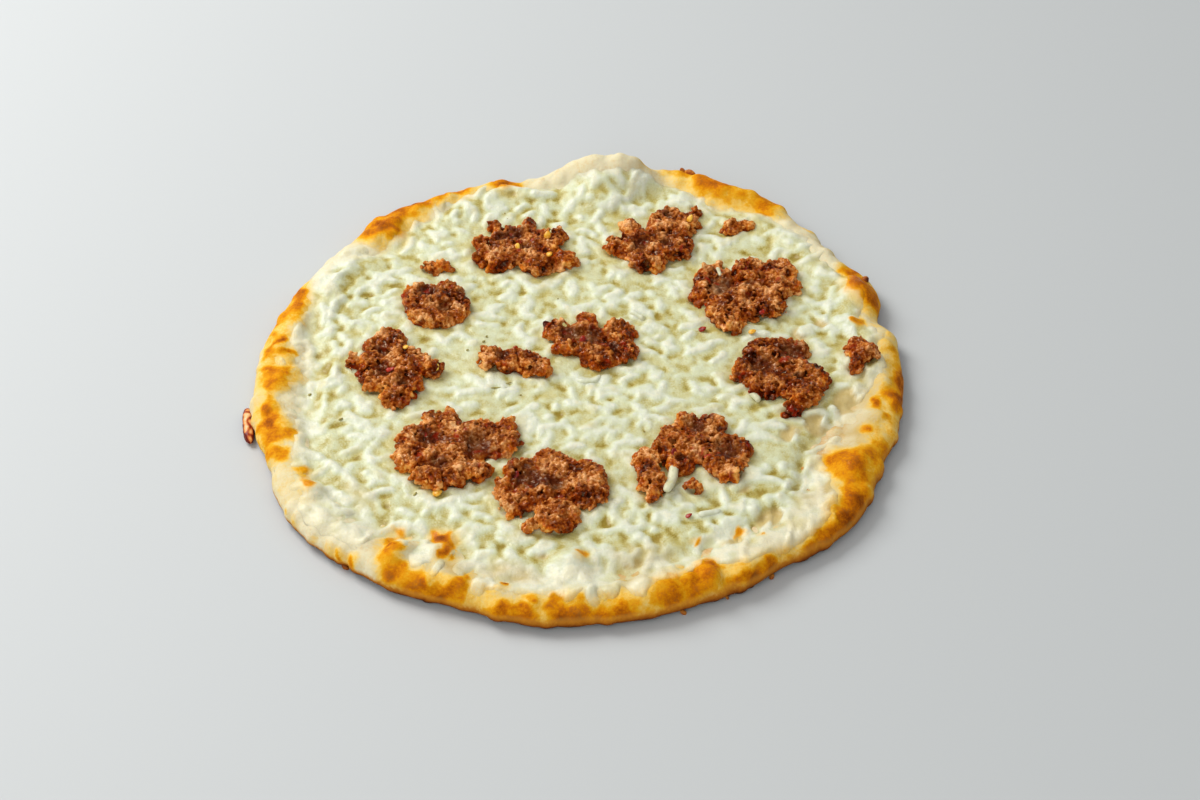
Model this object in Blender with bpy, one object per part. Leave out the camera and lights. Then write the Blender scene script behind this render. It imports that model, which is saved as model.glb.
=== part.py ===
"""Sujuk and cheese pie: a round flatbread with a puffed and blistered rim, a bed of melted
shredded cheese in it, and clumps of spiced beef sausage pressed on top. Metres, +Z up, with
the origin at the middle of the flat underside."""

import math

import bpy
from mathutils import Vector, noise

MM = 0.001
GAP = 0.3 * MM  # free space between pieces that touch

# Outline of the dough from above: a round pulled out a little towards one corner
DOUGH_RADIUS = 123.7 * MM
OVAL_REACH = 3.2 * MM
OVAL_ANGLE = 55
# Places where the edge swells or draws in: angle and half width in degrees, reach in mm
EDGE_SWELLS = [
    (16, 5, -4), (25, 5, 1.5), (35, 8, -3), (54, 9, 4.5), (72, 13, 4.5), (100, 9, -3.5),
    (131, 10, 4), (203, 8, -2), (218, 16, 2), (250, 10, -2.5), (322, 16, 4),
]

# Section of the dough from its floor to its edge
FLOOR_HEIGHT = 5 * MM
CREST_HEIGHT = 9.6 * MM
CREST_INSET = 8 * MM  # from the edge in to the top of the rim
RIM_FALL = 9 * MM  # how far the inner slope of the rim runs out
BULGE_HEIGHT = 3.8 * MM  # where the side stands out furthest
WAVE_SIZE = 17 * MM  # the unevenness of the rim between its blisters
WAVE_RISE = 0.9 * MM
UNDERSIDE_INSET = 6 * MM
SIDE_BELOW = [(2.2 * MM, 0.7 * MM), (0.5 * MM, 2.1 * MM)]  # inset and height under the bulge

# Blisters of the rim: place in mm, half length along the edge, half width, rise
BLISTERS = [
    (13, 118, 19, 11, 11), (58, 110, 24, 9, 4), (97, 70, 13, 9, 1.6), (109, 46, 12, 7, 3.2),
    (113, 0, 13, 9, 1.7), (99, -49, 13, 11, 2.6), (79, -68, 9, 10, 1.8), (67, -101, 15, 9, 2.7),
    (47, -106, 5, 11, 2.2), (29, -113, 13, 8, 1.7), (3, -116, 10, 7, 1.8), (-2, -101, 10, 10, 4),
    (-46, -111, 14, 8, 1.7), (-49, -95, 9, 9, 3), (-62, -97, 6, 13, 3.2), (-95, -67, 7, 7, 2.6),
    (-108, -32, 10, 8, 2.2), (-110, -7, 9, 9, 2.2), (-110, 26, 11, 8, 1.7), (-76, 80, 14, 11, 3.2),
    (-60, 101, 13, 7, 1.7), (-38, 107, 14, 7, 1.2),
]

# Cheese: how far its edge lies in from the edge of the dough, in mm, every 15 degrees
CHEESE_INSETS = [
    8, 7, 7, 8, 14, 8, 5, 5, 9, 18, 7, 13, 22, 20, 15, 19, 24, 17, 20, 19, 20, 18, 26, 22,
]
CHEESE_EDGE = 1.1 * MM
CHEESE_DEPTH = 2.9 * MM
CHEESE_LEAST = 0.8 * MM
CHEESE_SWELL = 9 * MM  # from the edge of the cheese in to its full depth
LUMP_SIZE = 9.5 * MM
LUMP_RISE = 1.5 * MM
MELT_SIZE = 34 * MM  # size of the smooth pools between lumpy stretches

# Sujuk: each clump's middle and its lobes (place from the middle, radius), all in mm
SUJUK_CLUMPS = {
    "back_left": (-23, 71, [
        (-2, 2, 14), (10, 4, 10), (-12, -2, 9), (16, -8, 7), (5, -11, 7), (-20, 3, 5), (-12, 11, 4),
    ]),
    "back_right": (30, 76, [
        (-17, -5, 5), (-7, -3, 10), (-4, -12, 8), (6, -3, 11), (6, 8, 10), (12, 0, 7), (15, 12, 5),
    ]),
    "back_right_crumb": (62, 86, [(-2, -1, 4.8), (4, 1, 3.7)]),
    "right_back": (63, 45, [
        (-18, -3, 5), (-11, 6, 9), (3, 12, 8), (16, 11, 8), (4, -5, 12), (-7, -12, 9), (-5, -20, 5),
    ]),
    "right": (77, -3, [
        (-7, 13, 8), (4, 12, 9), (-13, 3, 7), (0, 0, 11), (10, -1, 9), (-8, -6, 7), (7, -9, 9),
        (1, -20, 5),
    ]),
    "right_edge": (106, 6, [(-1, 5, 5.5), (3, 0, 4.8), (-2, -6, 4)]),
    "middle": (5, 14, [
        (-14, 6, 6.5), (-4, 12, 5), (-4, 2, 9), (10, 6, 7), (11, -5, 6.5), (2, -8, 8),
    ]),
    "middle_left": (-24, 3, [(-9, 2, 6), (-1, 2, 6.2), (6, -1, 7), (10, -3, 5)]),
    "left_back": (-56, 35, [(-5, 4, 9), (3, 5, 8.5), (6, -2, 9), (-4, -3, 9.5), (2, -6, 8)]),
    "left_back_crumb": (-58, 58, [(-2, 0, 4.5), (3, 1, 3.3)]),
    "left": (-70, -2, [
        (-3, 15, 7), (-8, 10, 6), (-16, 3, 4), (-2, 5, 9), (8, 3, 8), (15, 0, 5), (-5, -7, 7),
        (5, -9, 8.5), (1, -15, 6),
    ]),
    "front_left": (-45, -46, [
        (-6, 14, 8), (-15, 5, 8), (-16, -5, 7), (-3, 1, 12), (9, 5, 11), (18, 5, 8), (-1, -12, 8),
        (9, -11, 6),
    ]),
    "front": (-10, -65, [
        (0, 13, 7), (-10, 7, 8), (-17, 0, 5), (2, 4, 11), (13, 6, 8), (14, -2, 8), (-11, -9, 7),
        (3, -14, 9),
    ]),
    "front_right": (40, -47, [
        (0, 16, 6), (9, 16, 6.5), (-6, 9, 7), (6, 5, 11), (18, 3, 8), (-15, -3, 6.5),
        (-13, -15, 6.5), (15, -7, 8),
    ]),
}
SUJUK_HEIGHT = 5.2 * MM
SMALL_CLUMP = 8 * MM  # reach under which a clump is a mere crumb, and lower
SMALL_HEIGHT = 0.72  # share of the full height
SEAT_SINK = 0.6 * MM  # how deep a clump is pressed into the cheese
SEAT_SPAN = 6 * MM  # the seat's tilt is read over this far each way
SEAT_MARGIN = 4.5 * MM
SEAT_FADE = 6 * MM
CRAG_SIZE = 6 * MM
CRAG_RISE = 1.6 * MM
# Section of a clump: share of its reach and share of its height, from below to the top
CLUMP_SECTION = [(0.82, 0), (1, 0.36), (0.95, 0.74), (0.78, 0.97), (0.5, 1), (0.25, 1)]

# Strip of cheese that ran over the left edge, browned and curled against the side
LEAK_ANGLES = (188, 196.5)
LEAK_WIDTH = 2.4 * MM
LEAK_HEIGHT = 3.6 * MM

SEGMENTS = 108  # round the pie
CLUMP_SEGMENTS = 22
CRUMB_SEGMENTS = 12
# Rings of the dough from its edge to the edge of the cheese, and from there to the middle
RIM_RINGS = [0.07, 0.2, 0.36, 0.55, 0.77]
FLOOR_RINGS = [1, 0.955, 0.9, 0.8, 0.62, 0.34]
CHEESE_RINGS = 21

LOOKS = {
    "dough": ((0.78, 0.55, 0.28), 0.55),
    "cheese": ((0.86, 0.84, 0.62), 0.35),
    "sujuk": ((0.24, 0.07, 0.03), 0.45),
    "browned_cheese": ((0.50, 0.17, 0.04), 0.4),
}


def bell(distance):
    """1 at 0, falling smoothly to 0 at a distance of 1 and beyond."""
    return max(0.0, 1 - distance * distance) ** 2


def ease(share):
    """0 below 0, 1 above 1, and a smooth step between."""
    share = min(1.0, max(0.0, share))
    return share * share * (3 - 2 * share)


def turn_between(angle, other):
    """Smallest turn in degrees from one angle to another."""
    return (angle - other + 180) % 360 - 180


def outline_radius(angle):
    """Distance in metres from the middle to the edge of the dough, at an angle in degrees."""
    radius = DOUGH_RADIUS + OVAL_REACH * math.cos(2 * math.radians(angle - OVAL_ANGLE))
    for middle, half_width, reach in EDGE_SWELLS:
        radius += reach * MM * bell(turn_between(angle, middle) / half_width)
    return radius


def cheese_radius(angle):
    """Distance from the middle to the edge of the cheese: its insets, joined by a smooth curve."""
    count = len(CHEESE_INSETS)
    place = (angle % 360) / 360 * count
    first = int(place)
    share = place - first
    before, here, after, beyond = (CHEESE_INSETS[(first + k) % count] for k in (-1, 0, 1, 2))
    slope_here, slope_after = (after - before) / 2, (beyond - here) / 2
    inset = (
        here * (1 + 2 * share) * (1 - share) ** 2
        + slope_here * share * (1 - share) ** 2
        + after * share**2 * (3 - 2 * share)
        + slope_after * share**2 * (share - 1)
    )
    return outline_radius(angle) - inset * MM


def blister_rise(x, y):
    """Height that the rim's blisters add at a place. Each lies along the edge of the dough."""
    rise = 0.0
    for middle_x, middle_y, half_length, half_width, height in BLISTERS:
        turn = math.atan2(middle_y, middle_x)
        off_x, off_y = x / MM - middle_x, y / MM - middle_y
        outward = off_x * math.cos(turn) + off_y * math.sin(turn)
        along = -off_x * math.sin(turn) + off_y * math.cos(turn)
        rise += height * MM * bell(math.hypot(along / half_length, outward / half_width))
    return rise


def dough_height(x, y):
    """Top of the dough: a flat floor, a rim with a rounded outer side, and its blisters."""
    angle = math.degrees(math.atan2(y, x))
    inset = max(0.0, outline_radius(angle) - math.hypot(x, y))
    fall = max(0.0, inset - CREST_INSET) / RIM_FALL
    wave = WAVE_RISE * noise.noise(Vector((x, y, 0)) / WAVE_SIZE)
    rim = CREST_HEIGHT - FLOOR_HEIGHT + wave
    height = FLOOR_HEIGHT + rim * math.exp(-fall * fall) + blister_rise(x, y)
    outer = max(0.0, 1 - inset / CREST_INSET)
    return BULGE_HEIGHT + (height - BULGE_HEIGHT) * math.sqrt(1 - outer * outer)


def lobe_distance(x, y, clump):
    """Distance from a place to a clump seen from above, negative inside it."""
    middle_x, middle_y, lobes = clump
    return min(
        math.hypot(x - (middle_x + lobe_x) * MM, y - (middle_y + lobe_y) * MM) - radius * MM
        for lobe_x, lobe_y, radius in lobes
    )


def level_height(x, y):
    """Top of the cheese with its lumps smoothed away."""
    angle = math.degrees(math.atan2(y, x))
    from_edge = cheese_radius(angle) - math.hypot(x, y)
    depth = CHEESE_EDGE + (CHEESE_DEPTH - CHEESE_EDGE) * ease(from_edge / CHEESE_SWELL)
    return dough_height(x, y) + GAP + depth


def seat_height(x, y, clump):
    """The flat, tilted place in the cheese that a clump is pressed into: its height anywhere."""
    middle_x, middle_y = clump[0] * MM, clump[1] * MM
    height = level_height(middle_x, middle_y) - SEAT_SINK
    for ahead_x, ahead_y in ((SEAT_SPAN, 0), (0, SEAT_SPAN)):
        front = level_height(middle_x + ahead_x, middle_y + ahead_y)
        behind = level_height(middle_x - ahead_x, middle_y - ahead_y)
        slope = (front - behind) / (2 * SEAT_SPAN)
        height += slope * ((x - middle_x) * ahead_x + (y - middle_y) * ahead_y) / SEAT_SPAN
    return height


def cheese_height(x, y):
    """Top of the cheese: lumps of half-melted shreds, smooth pools, and a seat under each clump."""
    place = Vector((x, y, 0))
    melt = ease(0.5 + 1.4 * noise.noise(place / MELT_SIZE))
    lumps = noise.noise(place / LUMP_SIZE) + 0.5 * noise.noise(place * 2 / LUMP_SIZE)
    from_edge = cheese_radius(math.degrees(math.atan2(y, x))) - math.hypot(x, y)
    lumps *= LUMP_RISE * (0.5 + 0.8 * melt) * ease(from_edge / CHEESE_SWELL)
    height = level_height(x, y) + lumps
    for clump in SUJUK_CLUMPS.values():
        fade = ease(1 - (lobe_distance(x, y, clump) - SEAT_MARGIN) / SEAT_FADE)
        if fade > 0:
            height += fade * (seat_height(x, y, clump) - height)
    return max(height, dough_height(x, y) + GAP + CHEESE_LEAST)


def new_object(name, vertices, faces, look):
    """A named object from its mesh, with smooth shading and its own material."""
    mesh = bpy.data.meshes.new(name)
    mesh.from_pydata(vertices, [], faces)
    mesh.validate()
    mesh.shade_smooth()
    piece = bpy.data.objects.new(name, mesh)
    bpy.context.scene.collection.objects.link(piece)
    colour, roughness = LOOKS[look]
    material = bpy.data.materials.new(f"{name}_{look}")
    material.use_nodes = True
    surface = material.node_tree.nodes["Principled BSDF"]
    surface.inputs["Base Color"].default_value = (*colour, 1)
    surface.inputs["Roughness"].default_value = roughness
    surface.inputs["Metallic"].default_value = 0
    mesh.materials.append(material)
    return piece


def skin_of_rings(rings, start, end):
    """Vertices and triangles of a closed skin: a point, rings of equal length one after another,
    a point. The rings run anticlockwise from above, and from the underside out, over and in.
    Each cell is split from its outer ring back to its inner one, so that layers that lie on
    each other are split alike."""
    segments = len(rings[0])
    vertices = [start] + [point for ring in rings for point in ring] + [end]
    last = len(vertices) - 1
    faces = []
    for k in range(segments):
        after = (k + 1) % segments
        faces.append((0, 1 + after, 1 + k))
        for n in range(len(rings) - 1):
            low, high = 1 + n * segments, 1 + (n + 1) * segments
            if math.hypot(*rings[n][k][:2]) < math.hypot(*rings[n + 1][k][:2]):
                faces.append((low + k, low + after, high + k))
                faces.append((low + after, high + after, high + k))
            else:
                faces.append((low + k, low + after, high + after))
                faces.append((low + k, high + after, high + k))
        high = 1 + (len(rings) - 1) * segments
        faces.append((high + k, high + after, last))
    return vertices, faces


def ring_round(radius_at, height_at):
    """One ring round the pie: a radius for each angle, and a height for each place."""
    points = []
    for k in range(SEGMENTS):
        angle = 360 * k / SEGMENTS
        radius = radius_at(angle)
        x = radius * math.cos(math.radians(angle))
        y = radius * math.sin(math.radians(angle))
        points.append((x, y, height_at(x, y)))
    return points


def inset_ring(inset, height):
    """A level ring that lies a set distance in from the edge of the dough."""
    return ring_round(lambda angle: outline_radius(angle) - inset, lambda x, y: height)


def rim_ring(share):
    """A ring on the bare rim, a share of the way from the edge of the dough to the cheese."""
    def radius(angle):
        return outline_radius(angle) + share * (cheese_radius(angle) - outline_radius(angle))
    return ring_round(radius, dough_height)


def cheese_ring(share, height_at):
    """A ring at a share of the cheese's own radius."""
    return ring_round(lambda angle: share * cheese_radius(angle), height_at)


def build_crust():
    """The dough: flat below, a rounded side, the blistered rim and the floor under the cheese."""
    rings = [inset_ring(UNDERSIDE_INSET, 0)]
    rings += [inset_ring(inset, height) for inset, height in SIDE_BELOW]
    rings += [inset_ring(0, BULGE_HEIGHT)]
    rings += [rim_ring(share) for share in RIM_RINGS]
    rings += [cheese_ring(share, dough_height) for share in FLOOR_RINGS]
    vertices, faces = skin_of_rings(rings, (0, 0, 0), (0, 0, dough_height(0, 0)))
    return new_object("crust", vertices, faces, "dough")


def build_cheese():
    """The cheese: its underside follows the dough's own rings a gap above them."""
    def underside(x, y):
        return dough_height(x, y) + GAP
    below = [cheese_ring(share, underside) for share in reversed(FLOOR_RINGS)]
    above = [cheese_ring(1, cheese_height)]
    above += [cheese_ring(1 - k / CHEESE_RINGS, cheese_height) for k in range(1, CHEESE_RINGS)]
    vertices, faces = skin_of_rings(
        below + above, (0, 0, underside(0, 0)), (0, 0, cheese_height(0, 0))
    )
    return new_object("cheese", vertices, faces, "cheese")


def clump_reach(clump, turn):
    """How far a clump reaches from its middle in a direction: the furthest side of its lobes."""
    reach = 0.0
    for x, y, radius in clump[2]:
        ahead = x * math.cos(turn) + y * math.sin(turn)
        aside = -x * math.sin(turn) + y * math.cos(turn)
        if abs(aside) < radius:
            reach = max(reach, ahead + math.sqrt(radius * radius - aside * aside))
    return reach * MM


def build_clump(name, clump):
    """A pressed clump of minced sausage: flat below, with a craggy side and top."""
    middle_x, middle_y = clump[0] * MM, clump[1] * MM
    crumb = max(clump_reach(clump, math.radians(turn)) for turn in range(0, 360, 15)) < SMALL_CLUMP
    segments = CRUMB_SEGMENTS if crumb else CLUMP_SEGMENTS
    tall = SUJUK_HEIGHT * (SMALL_HEIGHT if crumb else 1)

    def point(turn, reach_share, height_share):
        reach = reach_share * clump_reach(clump, turn)
        x = middle_x + reach * math.cos(turn)
        y = middle_y + reach * math.sin(turn)
        crag = CRAG_RISE * noise.noise(Vector((x, y, 0)) / CRAG_SIZE)
        return x, y, seat_height(x, y, clump) + GAP + (tall + crag) * height_share

    turns = [2 * math.pi * k / segments for k in range(segments)]
    rings = [[point(turn, *shares) for turn in turns] for shares in CLUMP_SECTION]
    vertices, faces = skin_of_rings(rings, point(0, 0, 0), point(0, 0, 1))
    return new_object(name, vertices, faces, "sujuk")


def build_leak():
    """The browned strip: an oval section carried along the foot of the crust, thin at its ends."""
    stations, sides = 9, 8
    rings = []
    for n in range(stations):
        share = (n + 0.5) / stations
        angle = LEAK_ANGLES[0] + (LEAK_ANGLES[1] - LEAK_ANGLES[0]) * share
        turn = math.radians(angle)
        fat = math.sqrt(1 - (2 * share - 1) ** 4)
        middle = outline_radius(angle) + GAP + LEAK_WIDTH / 2
        ring = []
        for k in range(sides):
            round_turn = -2 * math.pi * k / sides
            radius = middle + fat * LEAK_WIDTH / 2 * math.cos(round_turn)
            height = LEAK_HEIGHT / 2 * (1 + fat * math.sin(round_turn))
            ring.append((radius * math.cos(turn), radius * math.sin(turn), height))
        rings.append(ring)
    ends = []
    for angle in LEAK_ANGLES:
        turn = math.radians(angle)
        radius = outline_radius(angle) + GAP + LEAK_WIDTH / 2
        ends.append((radius * math.cos(turn), radius * math.sin(turn), LEAK_HEIGHT / 2))
    vertices, faces = skin_of_rings(rings, *ends)
    return new_object("leaked_cheese", vertices, faces, "browned_cheese")


for old in list(bpy.data.objects):
    bpy.data.objects.remove(old)
build_crust()
build_cheese()
for place, clump in SUJUK_CLUMPS.items():
    build_clump(f"sujuk_{place}", clump)
build_leak()
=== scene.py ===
"""Sujuk and cheese pie, as it looks on the table: baked dough, melted shredded cheese and clumps
of spiced minced beef. Each piece is worked out with numpy in millimetres and put into its mesh
in metres, +Z up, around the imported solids."""

import bpy
import numpy as np
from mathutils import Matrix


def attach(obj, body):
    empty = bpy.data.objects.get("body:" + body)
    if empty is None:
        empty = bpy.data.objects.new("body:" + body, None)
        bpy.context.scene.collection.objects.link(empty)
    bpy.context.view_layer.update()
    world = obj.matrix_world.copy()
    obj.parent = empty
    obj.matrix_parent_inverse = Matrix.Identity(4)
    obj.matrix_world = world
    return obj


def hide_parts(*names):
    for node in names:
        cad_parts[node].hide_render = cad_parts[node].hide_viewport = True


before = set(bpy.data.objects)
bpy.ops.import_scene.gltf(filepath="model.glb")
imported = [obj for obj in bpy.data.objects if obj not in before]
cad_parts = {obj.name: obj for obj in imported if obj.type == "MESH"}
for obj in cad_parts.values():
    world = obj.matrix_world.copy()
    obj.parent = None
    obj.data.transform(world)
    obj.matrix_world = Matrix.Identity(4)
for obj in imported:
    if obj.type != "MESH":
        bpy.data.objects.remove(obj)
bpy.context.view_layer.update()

# The dough: wheat dough rolled to a round, its rim pinched up and left bare, baked on a hot
# floor. The rim puffs into blisters, which brown first, and the foot picks up flour and char.
MM = 0.001
DOUGH_RADIUS = 123.7
OVAL_REACH = 3.2
OVAL_ANGLE = 55
# Where the edge swells or draws in: angle and half width in degrees, reach
EDGE_SWELLS = [
    (16, 5, -4), (25, 5, 1.5), (35, 8, -3), (54, 9, 4.5), (72, 13, 4.5), (100, 9, -3.5),
    (131, 10, 4), (203, 8, -2), (218, 16, 2), (250, 10, -2.5), (322, 16, 4),
]
FLOOR_HEIGHT = 5
CREST_HEIGHT = 9.6
CREST_INSET = 8
RIM_FALL = 9
BULGE_HEIGHT = 3.8
UNDERSIDE_INSET = 6
# Insets of the rings under the pie, the reach of the fine rings on top, and the rings beyond it
UNDER_INSETS = [90, 50, 20]
FINE_REACH = 42
FLOOR_INSETS = [60, 90]
# Where the cheese hides the dough: the distance in from the cheese's edge at which it starts,
# over how much it grows, and how far the dough lies lower there
HIDDEN_INSET = 3
HIDDEN_SPAN = 4
HIDDEN_SINK = 0.8
# Height of the browned foot, and how much higher it stands on its side of the pie
FOOT_HEIGHT = 3.7
FOOT_LEAN = 2.2
# The side of the pie, in degrees, where the foot browned highest
FOOT_SIDE = 310
# How far the bare rim reaches in from the edge, every 15 degrees
CHEESE_INSETS = [
    8, 7, 7, 8, 14, 10, 12, 7, 9, 18, 7, 13, 22, 20, 15, 19, 24, 17, 20, 19, 20, 18, 26, 22,
]
# Blisters: place, half length along the edge, half width, rise
BLISTERS = [
    (-8, 119, 18, 10, 5), (8, 118, 18, 14, 10), (21, 115, 13, 13, 6.5), (6, 105, 20, 13, 4.5),
    (58, 110, 24, 9, 4), (97, 70, 13, 9, 1.6), (109, 46, 12, 7, 3.2),
    (113, 0, 13, 9, 1.7), (99, -49, 13, 11, 2.6), (79, -68, 9, 10, 1.8), (67, -101, 15, 9, 2.7),
    (47, -106, 5, 11, 2.2), (29, -113, 13, 8, 1.7), (3, -116, 10, 7, 1.8), (-2, -101, 10, 10, 4),
    (-46, -111, 14, 8, 1.7), (-49, -95, 9, 9, 3), (-62, -97, 6, 13, 3.2), (-95, -67, 7, 7, 2.6),
    (-108, -32, 10, 8, 2.2), (-110, -7, 9, 9, 2.2), (-110, 26, 11, 8, 1.7), (-76, 80, 14, 11, 3.2),
    (-60, 101, 13, 7, 1.7), (-38, 107, 14, 7, 1.2),
]
# Places where the oven caught the crust: angle, inset from the edge, half length along the
# edge, half width across it, depth. Factors draw out the brown itself and its golden margin
BROWNED = [
    (2, 1, 8, 4, 0.5), (14.3, 10, 3, 2, 0.8), (20, 3, 6, 5, 0.9), (24, 8, 9, 4.5, 1.15),
    (28.5, 3, 5, 5, 0.9), (36, 0, 6, 2, 0.4), (45, 0, 5, 1.5, 0.3), (52.5, 7, 6, 5, 0.65),
    (54, 3, 8, 7, 0.4), (60, 3, 10, 9, 0.45), (66, 3, 10, 8, 0.45), (71.5, 2, 7, 7, 0.5),
    (64, 8, 8, 4, 0.35), (75, 0, 4, 3, 0.4), (106.5, 5, 6, 7, 0.85), (107, 8, 2.2, 2, 0.6),
    (115, 3, 5, 6, 0.75), (120, 1, 10, 6, 0.9), (124, 4, 3, 4, 0.6), (127, 4, 7, 7, 0.8),
    (132, 5, 9, 9, 0.8), (134.5, 12, 6.5, 7, 0.85), (138, 3, 5, 6, 0.7), (158, 1, 6, 4, 0.7),
    (161, 3, 7, 5, 0.9), (165.5, 6, 6, 4.5, 0.85), (169, 1.5, 6, 3, 0.6), (173, 7, 4, 4, 0.8),
    (173.5, 8, 1.2, 1.2, 0.6), (176.5, 4, 5, 3, 0.7), (177, 12, 2, 1.6, 0.9), (178, 9, 4, 3, 0.7),
    (182, 9, 4, 6, 0.75), (185.5, 7, 4, 6, 0.85), (181, 4, 4, 3, 0.5), (184, 14, 4, 2.5, 0.5),
    (191, 4, 5, 3.5, 0.75), (195, 6, 6, 4, 0.95), (199, 9, 4, 4, 0.95), (198, 4, 5, 3, 0.7),
    (203.5, 3.5, 6, 3.2, 0.75), (214, 11, 3, 2.5, 0.65), (210.5, 12.5, 4.5, 2.5, 0.45),
    (213, 12, 8, 5, 0.25), (231, 14, 1.2, 4, 0.4), (228.5, 0.5, 3, 1.4, 0.7),
    (223.5, 0.3, 2, 1.1, 0.6), (231.5, 1.5, 1.5, 1.6, 0.75), (218, 0, 3, 1, 0.45),
    (233, 20, 2.5, 3, 0.55), (234.5, 15, 2.8, 5, 0.68), (236.5, 9, 3, 5, 0.72), (239, 4, 4, 4, 0.9),
    (235.3, 11, 1, 1.6, 0.7), (244, 2, 9, 4, 0.9), (250, 2, 9, 3.5, 0.9), (244.3, 16, 2, 5, 0.55),
    (244, 21, 2, 5, 0.7), (241.5, 27, 3.5, 2.5, 1.3), (246.5, 16, 1.6, 2.4, 0.6),
    (250.5, 8, 1.6, 2.5, 0.6), (258, 9.5, 2.2, 1.6, 1.1), (255.5, 6.5, 1.8, 1.6, 0.6),
    (260, 1, 10, 3, 0.8), (262.5, 6.5, 2.4, 1.8, 0.7), (268, 2, 6, 5, 0.9), (273, 1, 10, 3.5, 0.85),
    (280, 1.5, 9, 4, 0.85), (277, 4, 2.5, 4, 0.7), (287, 4, 7, 7, 0.95), (292.5, 7, 6, 5, 0.9),
    (295, 11, 3.5, 3.5, 0.8), (271.5, 26, 2.6, 3, 0.95), (272, 22, 2, 3, 0.35),
    (295.5, 24, 1.8, 1.6, 0.9), (299, 0, 8, 3, 0.7), (306, 0, 9, 2.5, 0.7),
    (304.5, 18.5, 2.4, 2, 0.85), (79, 3, 3, 4, 0.8), (243, 25, 8, 6, 0.35), (322, 2, 9, 5, 0.55),
    (321, 5, 6, 4, 0.4), (325, 0, 8, 1.6, 0.7), (314, 0.5, 12, 3.5, 0.5), (304, 0.5, 12, 3.5, 0.4),
    (260, 0, 24, 3, 0.25), (307.5, 13, 1.2, 1.5, 0.85), (314, -1, 8, 2, 0.5),
    (320, -0.5, 9, 2.5, 0.6), (325, 3, 7, 5, 0.5), (330, 4, 7, 6, 0.4), (332, 11.5, 5.5, 6.5, 0.75),
    (334, 18, 4.5, 4, 0.75), (336, 7, 4, 6, 0.5), (339.5, 4.5, 4, 3, 0.6), (343.5, 10, 2.2, 2, 0.8),
    (348, 6, 1.8, 1.6, 0.6), (350.3, 9.5, 2.6, 1.7, 0.8), (354, 1.5, 8, 3, 0.8),
    (353.5, 5, 5, 4, 0.45), (359, 1, 8, 3, 0.7), (338, 0, 10, 2, 0.5), (322, 6, 34, 12, 0.3),
    (346, 6, 26, 12, 0.3), (302, 5, 26, 7, 0.25), (8, 3, 24, 7, 0.28), (262, 4, 30, 6, 0.2),
    (282, 12, 8, 4.5, 0.3), (250, 11, 5, 4, 0.3), (268, 9, 3.5, 3, 0.35), (257, 16, 6, 4, 0.2),
    (215, 3, 34, 5, 0.12), (180, 6, 40, 8, 0.12), (60, 5, 30, 7, 0.2),
]
BROWNED_SPREAD = 1.62
GILDED_SPREAD = 2.3
# Where cheese ran out over the rim and kept it pale: angle, inset, half length, half width, then
# the factor that draws them out and their depth
RUNS = [
    (241.7, 14, 3, 7), (245.8, 8, 2, 5), (249.2, 13, 2.5, 5), (253.5, 5, 2.5, 6),
    (255.4, 9, 1.5, 3), (262, 12, 5, 4), (268.8, 13, 4, 7), (273, 8, 1.8, 6), (276.5, 9, 2.5, 4),
    (281.5, 9, 3, 5), (285, 13, 2, 3), (290.5, 12, 1.5, 3), (298, 13, 3, 5), (302, 8, 6, 5),
    (308, 7, 7, 5), (313, 8, 8, 5), (319, 10, 6, 5), (323.5, 13, 4, 6), (327, 19, 4, 5),
    (340, 17, 4, 5), (347, 16, 6, 7), (179.5, 8, 3.5, 4), (189, 2, 6, 3), (172, 13, 5, 4),
    (155, 8, 6, 5), (150, 4, 8, 6), (143, 6, 5, 6), (222, 4, 10, 5), (229, 9, 6, 6),
    (270, 19, 9, 8),
]
RUN_SPREAD = 1.5
RUN_DEPTH = 1.6
# Unevenness, as heights, sizes and seeds: it bends the borders of the brown and of the runs,
# clouds the brown, adds a grain and takes a little off
RUN_BEND = [(1.8, 7, 14)]
BROWN_BEND = [(3.2, 9, 5), (1.6, 3.5, 6)]
BROWN_CLOUDS = [(0.45, 5, 9)]
BROWN_GRAIN = [(0.1, 3, 10)]
BROWN_LOSS = 0.05
# The crust's skin: its swells, the rise of the brown, and small round bubbles in cells, of which
# a share has none
SKIN_SWELL = [(0.75, 17, 1), (0.5, 7.5, 2), (0.22, 3.4, 3)]
BROWN_RISE = 0.35
BUBBLE_CELL = 7
BUBBLE_HEIGHT = 0.9
BUBBLE_SHRINK = 1.7
FLAT_SHARE = 0.55
# Darker, duller patches on the rim and the film on it, partly fat soaked into the skin and partly
# painted shade where the rim turns away from the light: angle, inset, half length, half width,
# share
STAINS_AND_SHADE = [
    (249, 11, 9, 8, 0.8), (258, 18, 14, 9, 0.85), (282, 13, 18, 9, 0.65), (283, 25, 20, 9, 0.5),
    (304, 8, 14, 7, 0.6), (314, 11, 12, 9, 0.35), (322, 16, 14, 9, 0.6), (344, 14, 20, 12, 0.6),
    (355, 14, 12, 9, 0.4), (221, 25, 14, 6, 0.4),
]
# The crust's colour as it browns
CRUST_TONES = [
    (0.0, "#E2D6B0"), (0.1, "#E0CA92"), (0.22, "#EEC462"), (0.36, "#E6A61E"), (0.5, "#DC8C04"),
    (0.64, "#C06A04"), (0.8, "#884004"), (0.96, "#461A06"),
]


def bearing(x, y):
    """Angle of a place about the middle, in degrees."""
    return np.degrees(np.arctan2(y, x))


def on_ray(radius, turn):
    """The place at a distance from the middle, at a turn in radians."""
    return radius * np.cos(turn), radius * np.sin(turn)


def seen_along(x, y, turn):
    """How far a place lies along a direction, and to the left of it: its products with both."""
    return x * np.cos(turn) + y * np.sin(turn), -x * np.sin(turn) + y * np.cos(turn)


def bell(distance):
    """1 at 0, falling smoothly to 0 at a distance of 1 and beyond: (1 - d squared) squared."""
    return np.maximum(0, 1 - distance * distance) ** 2


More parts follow.
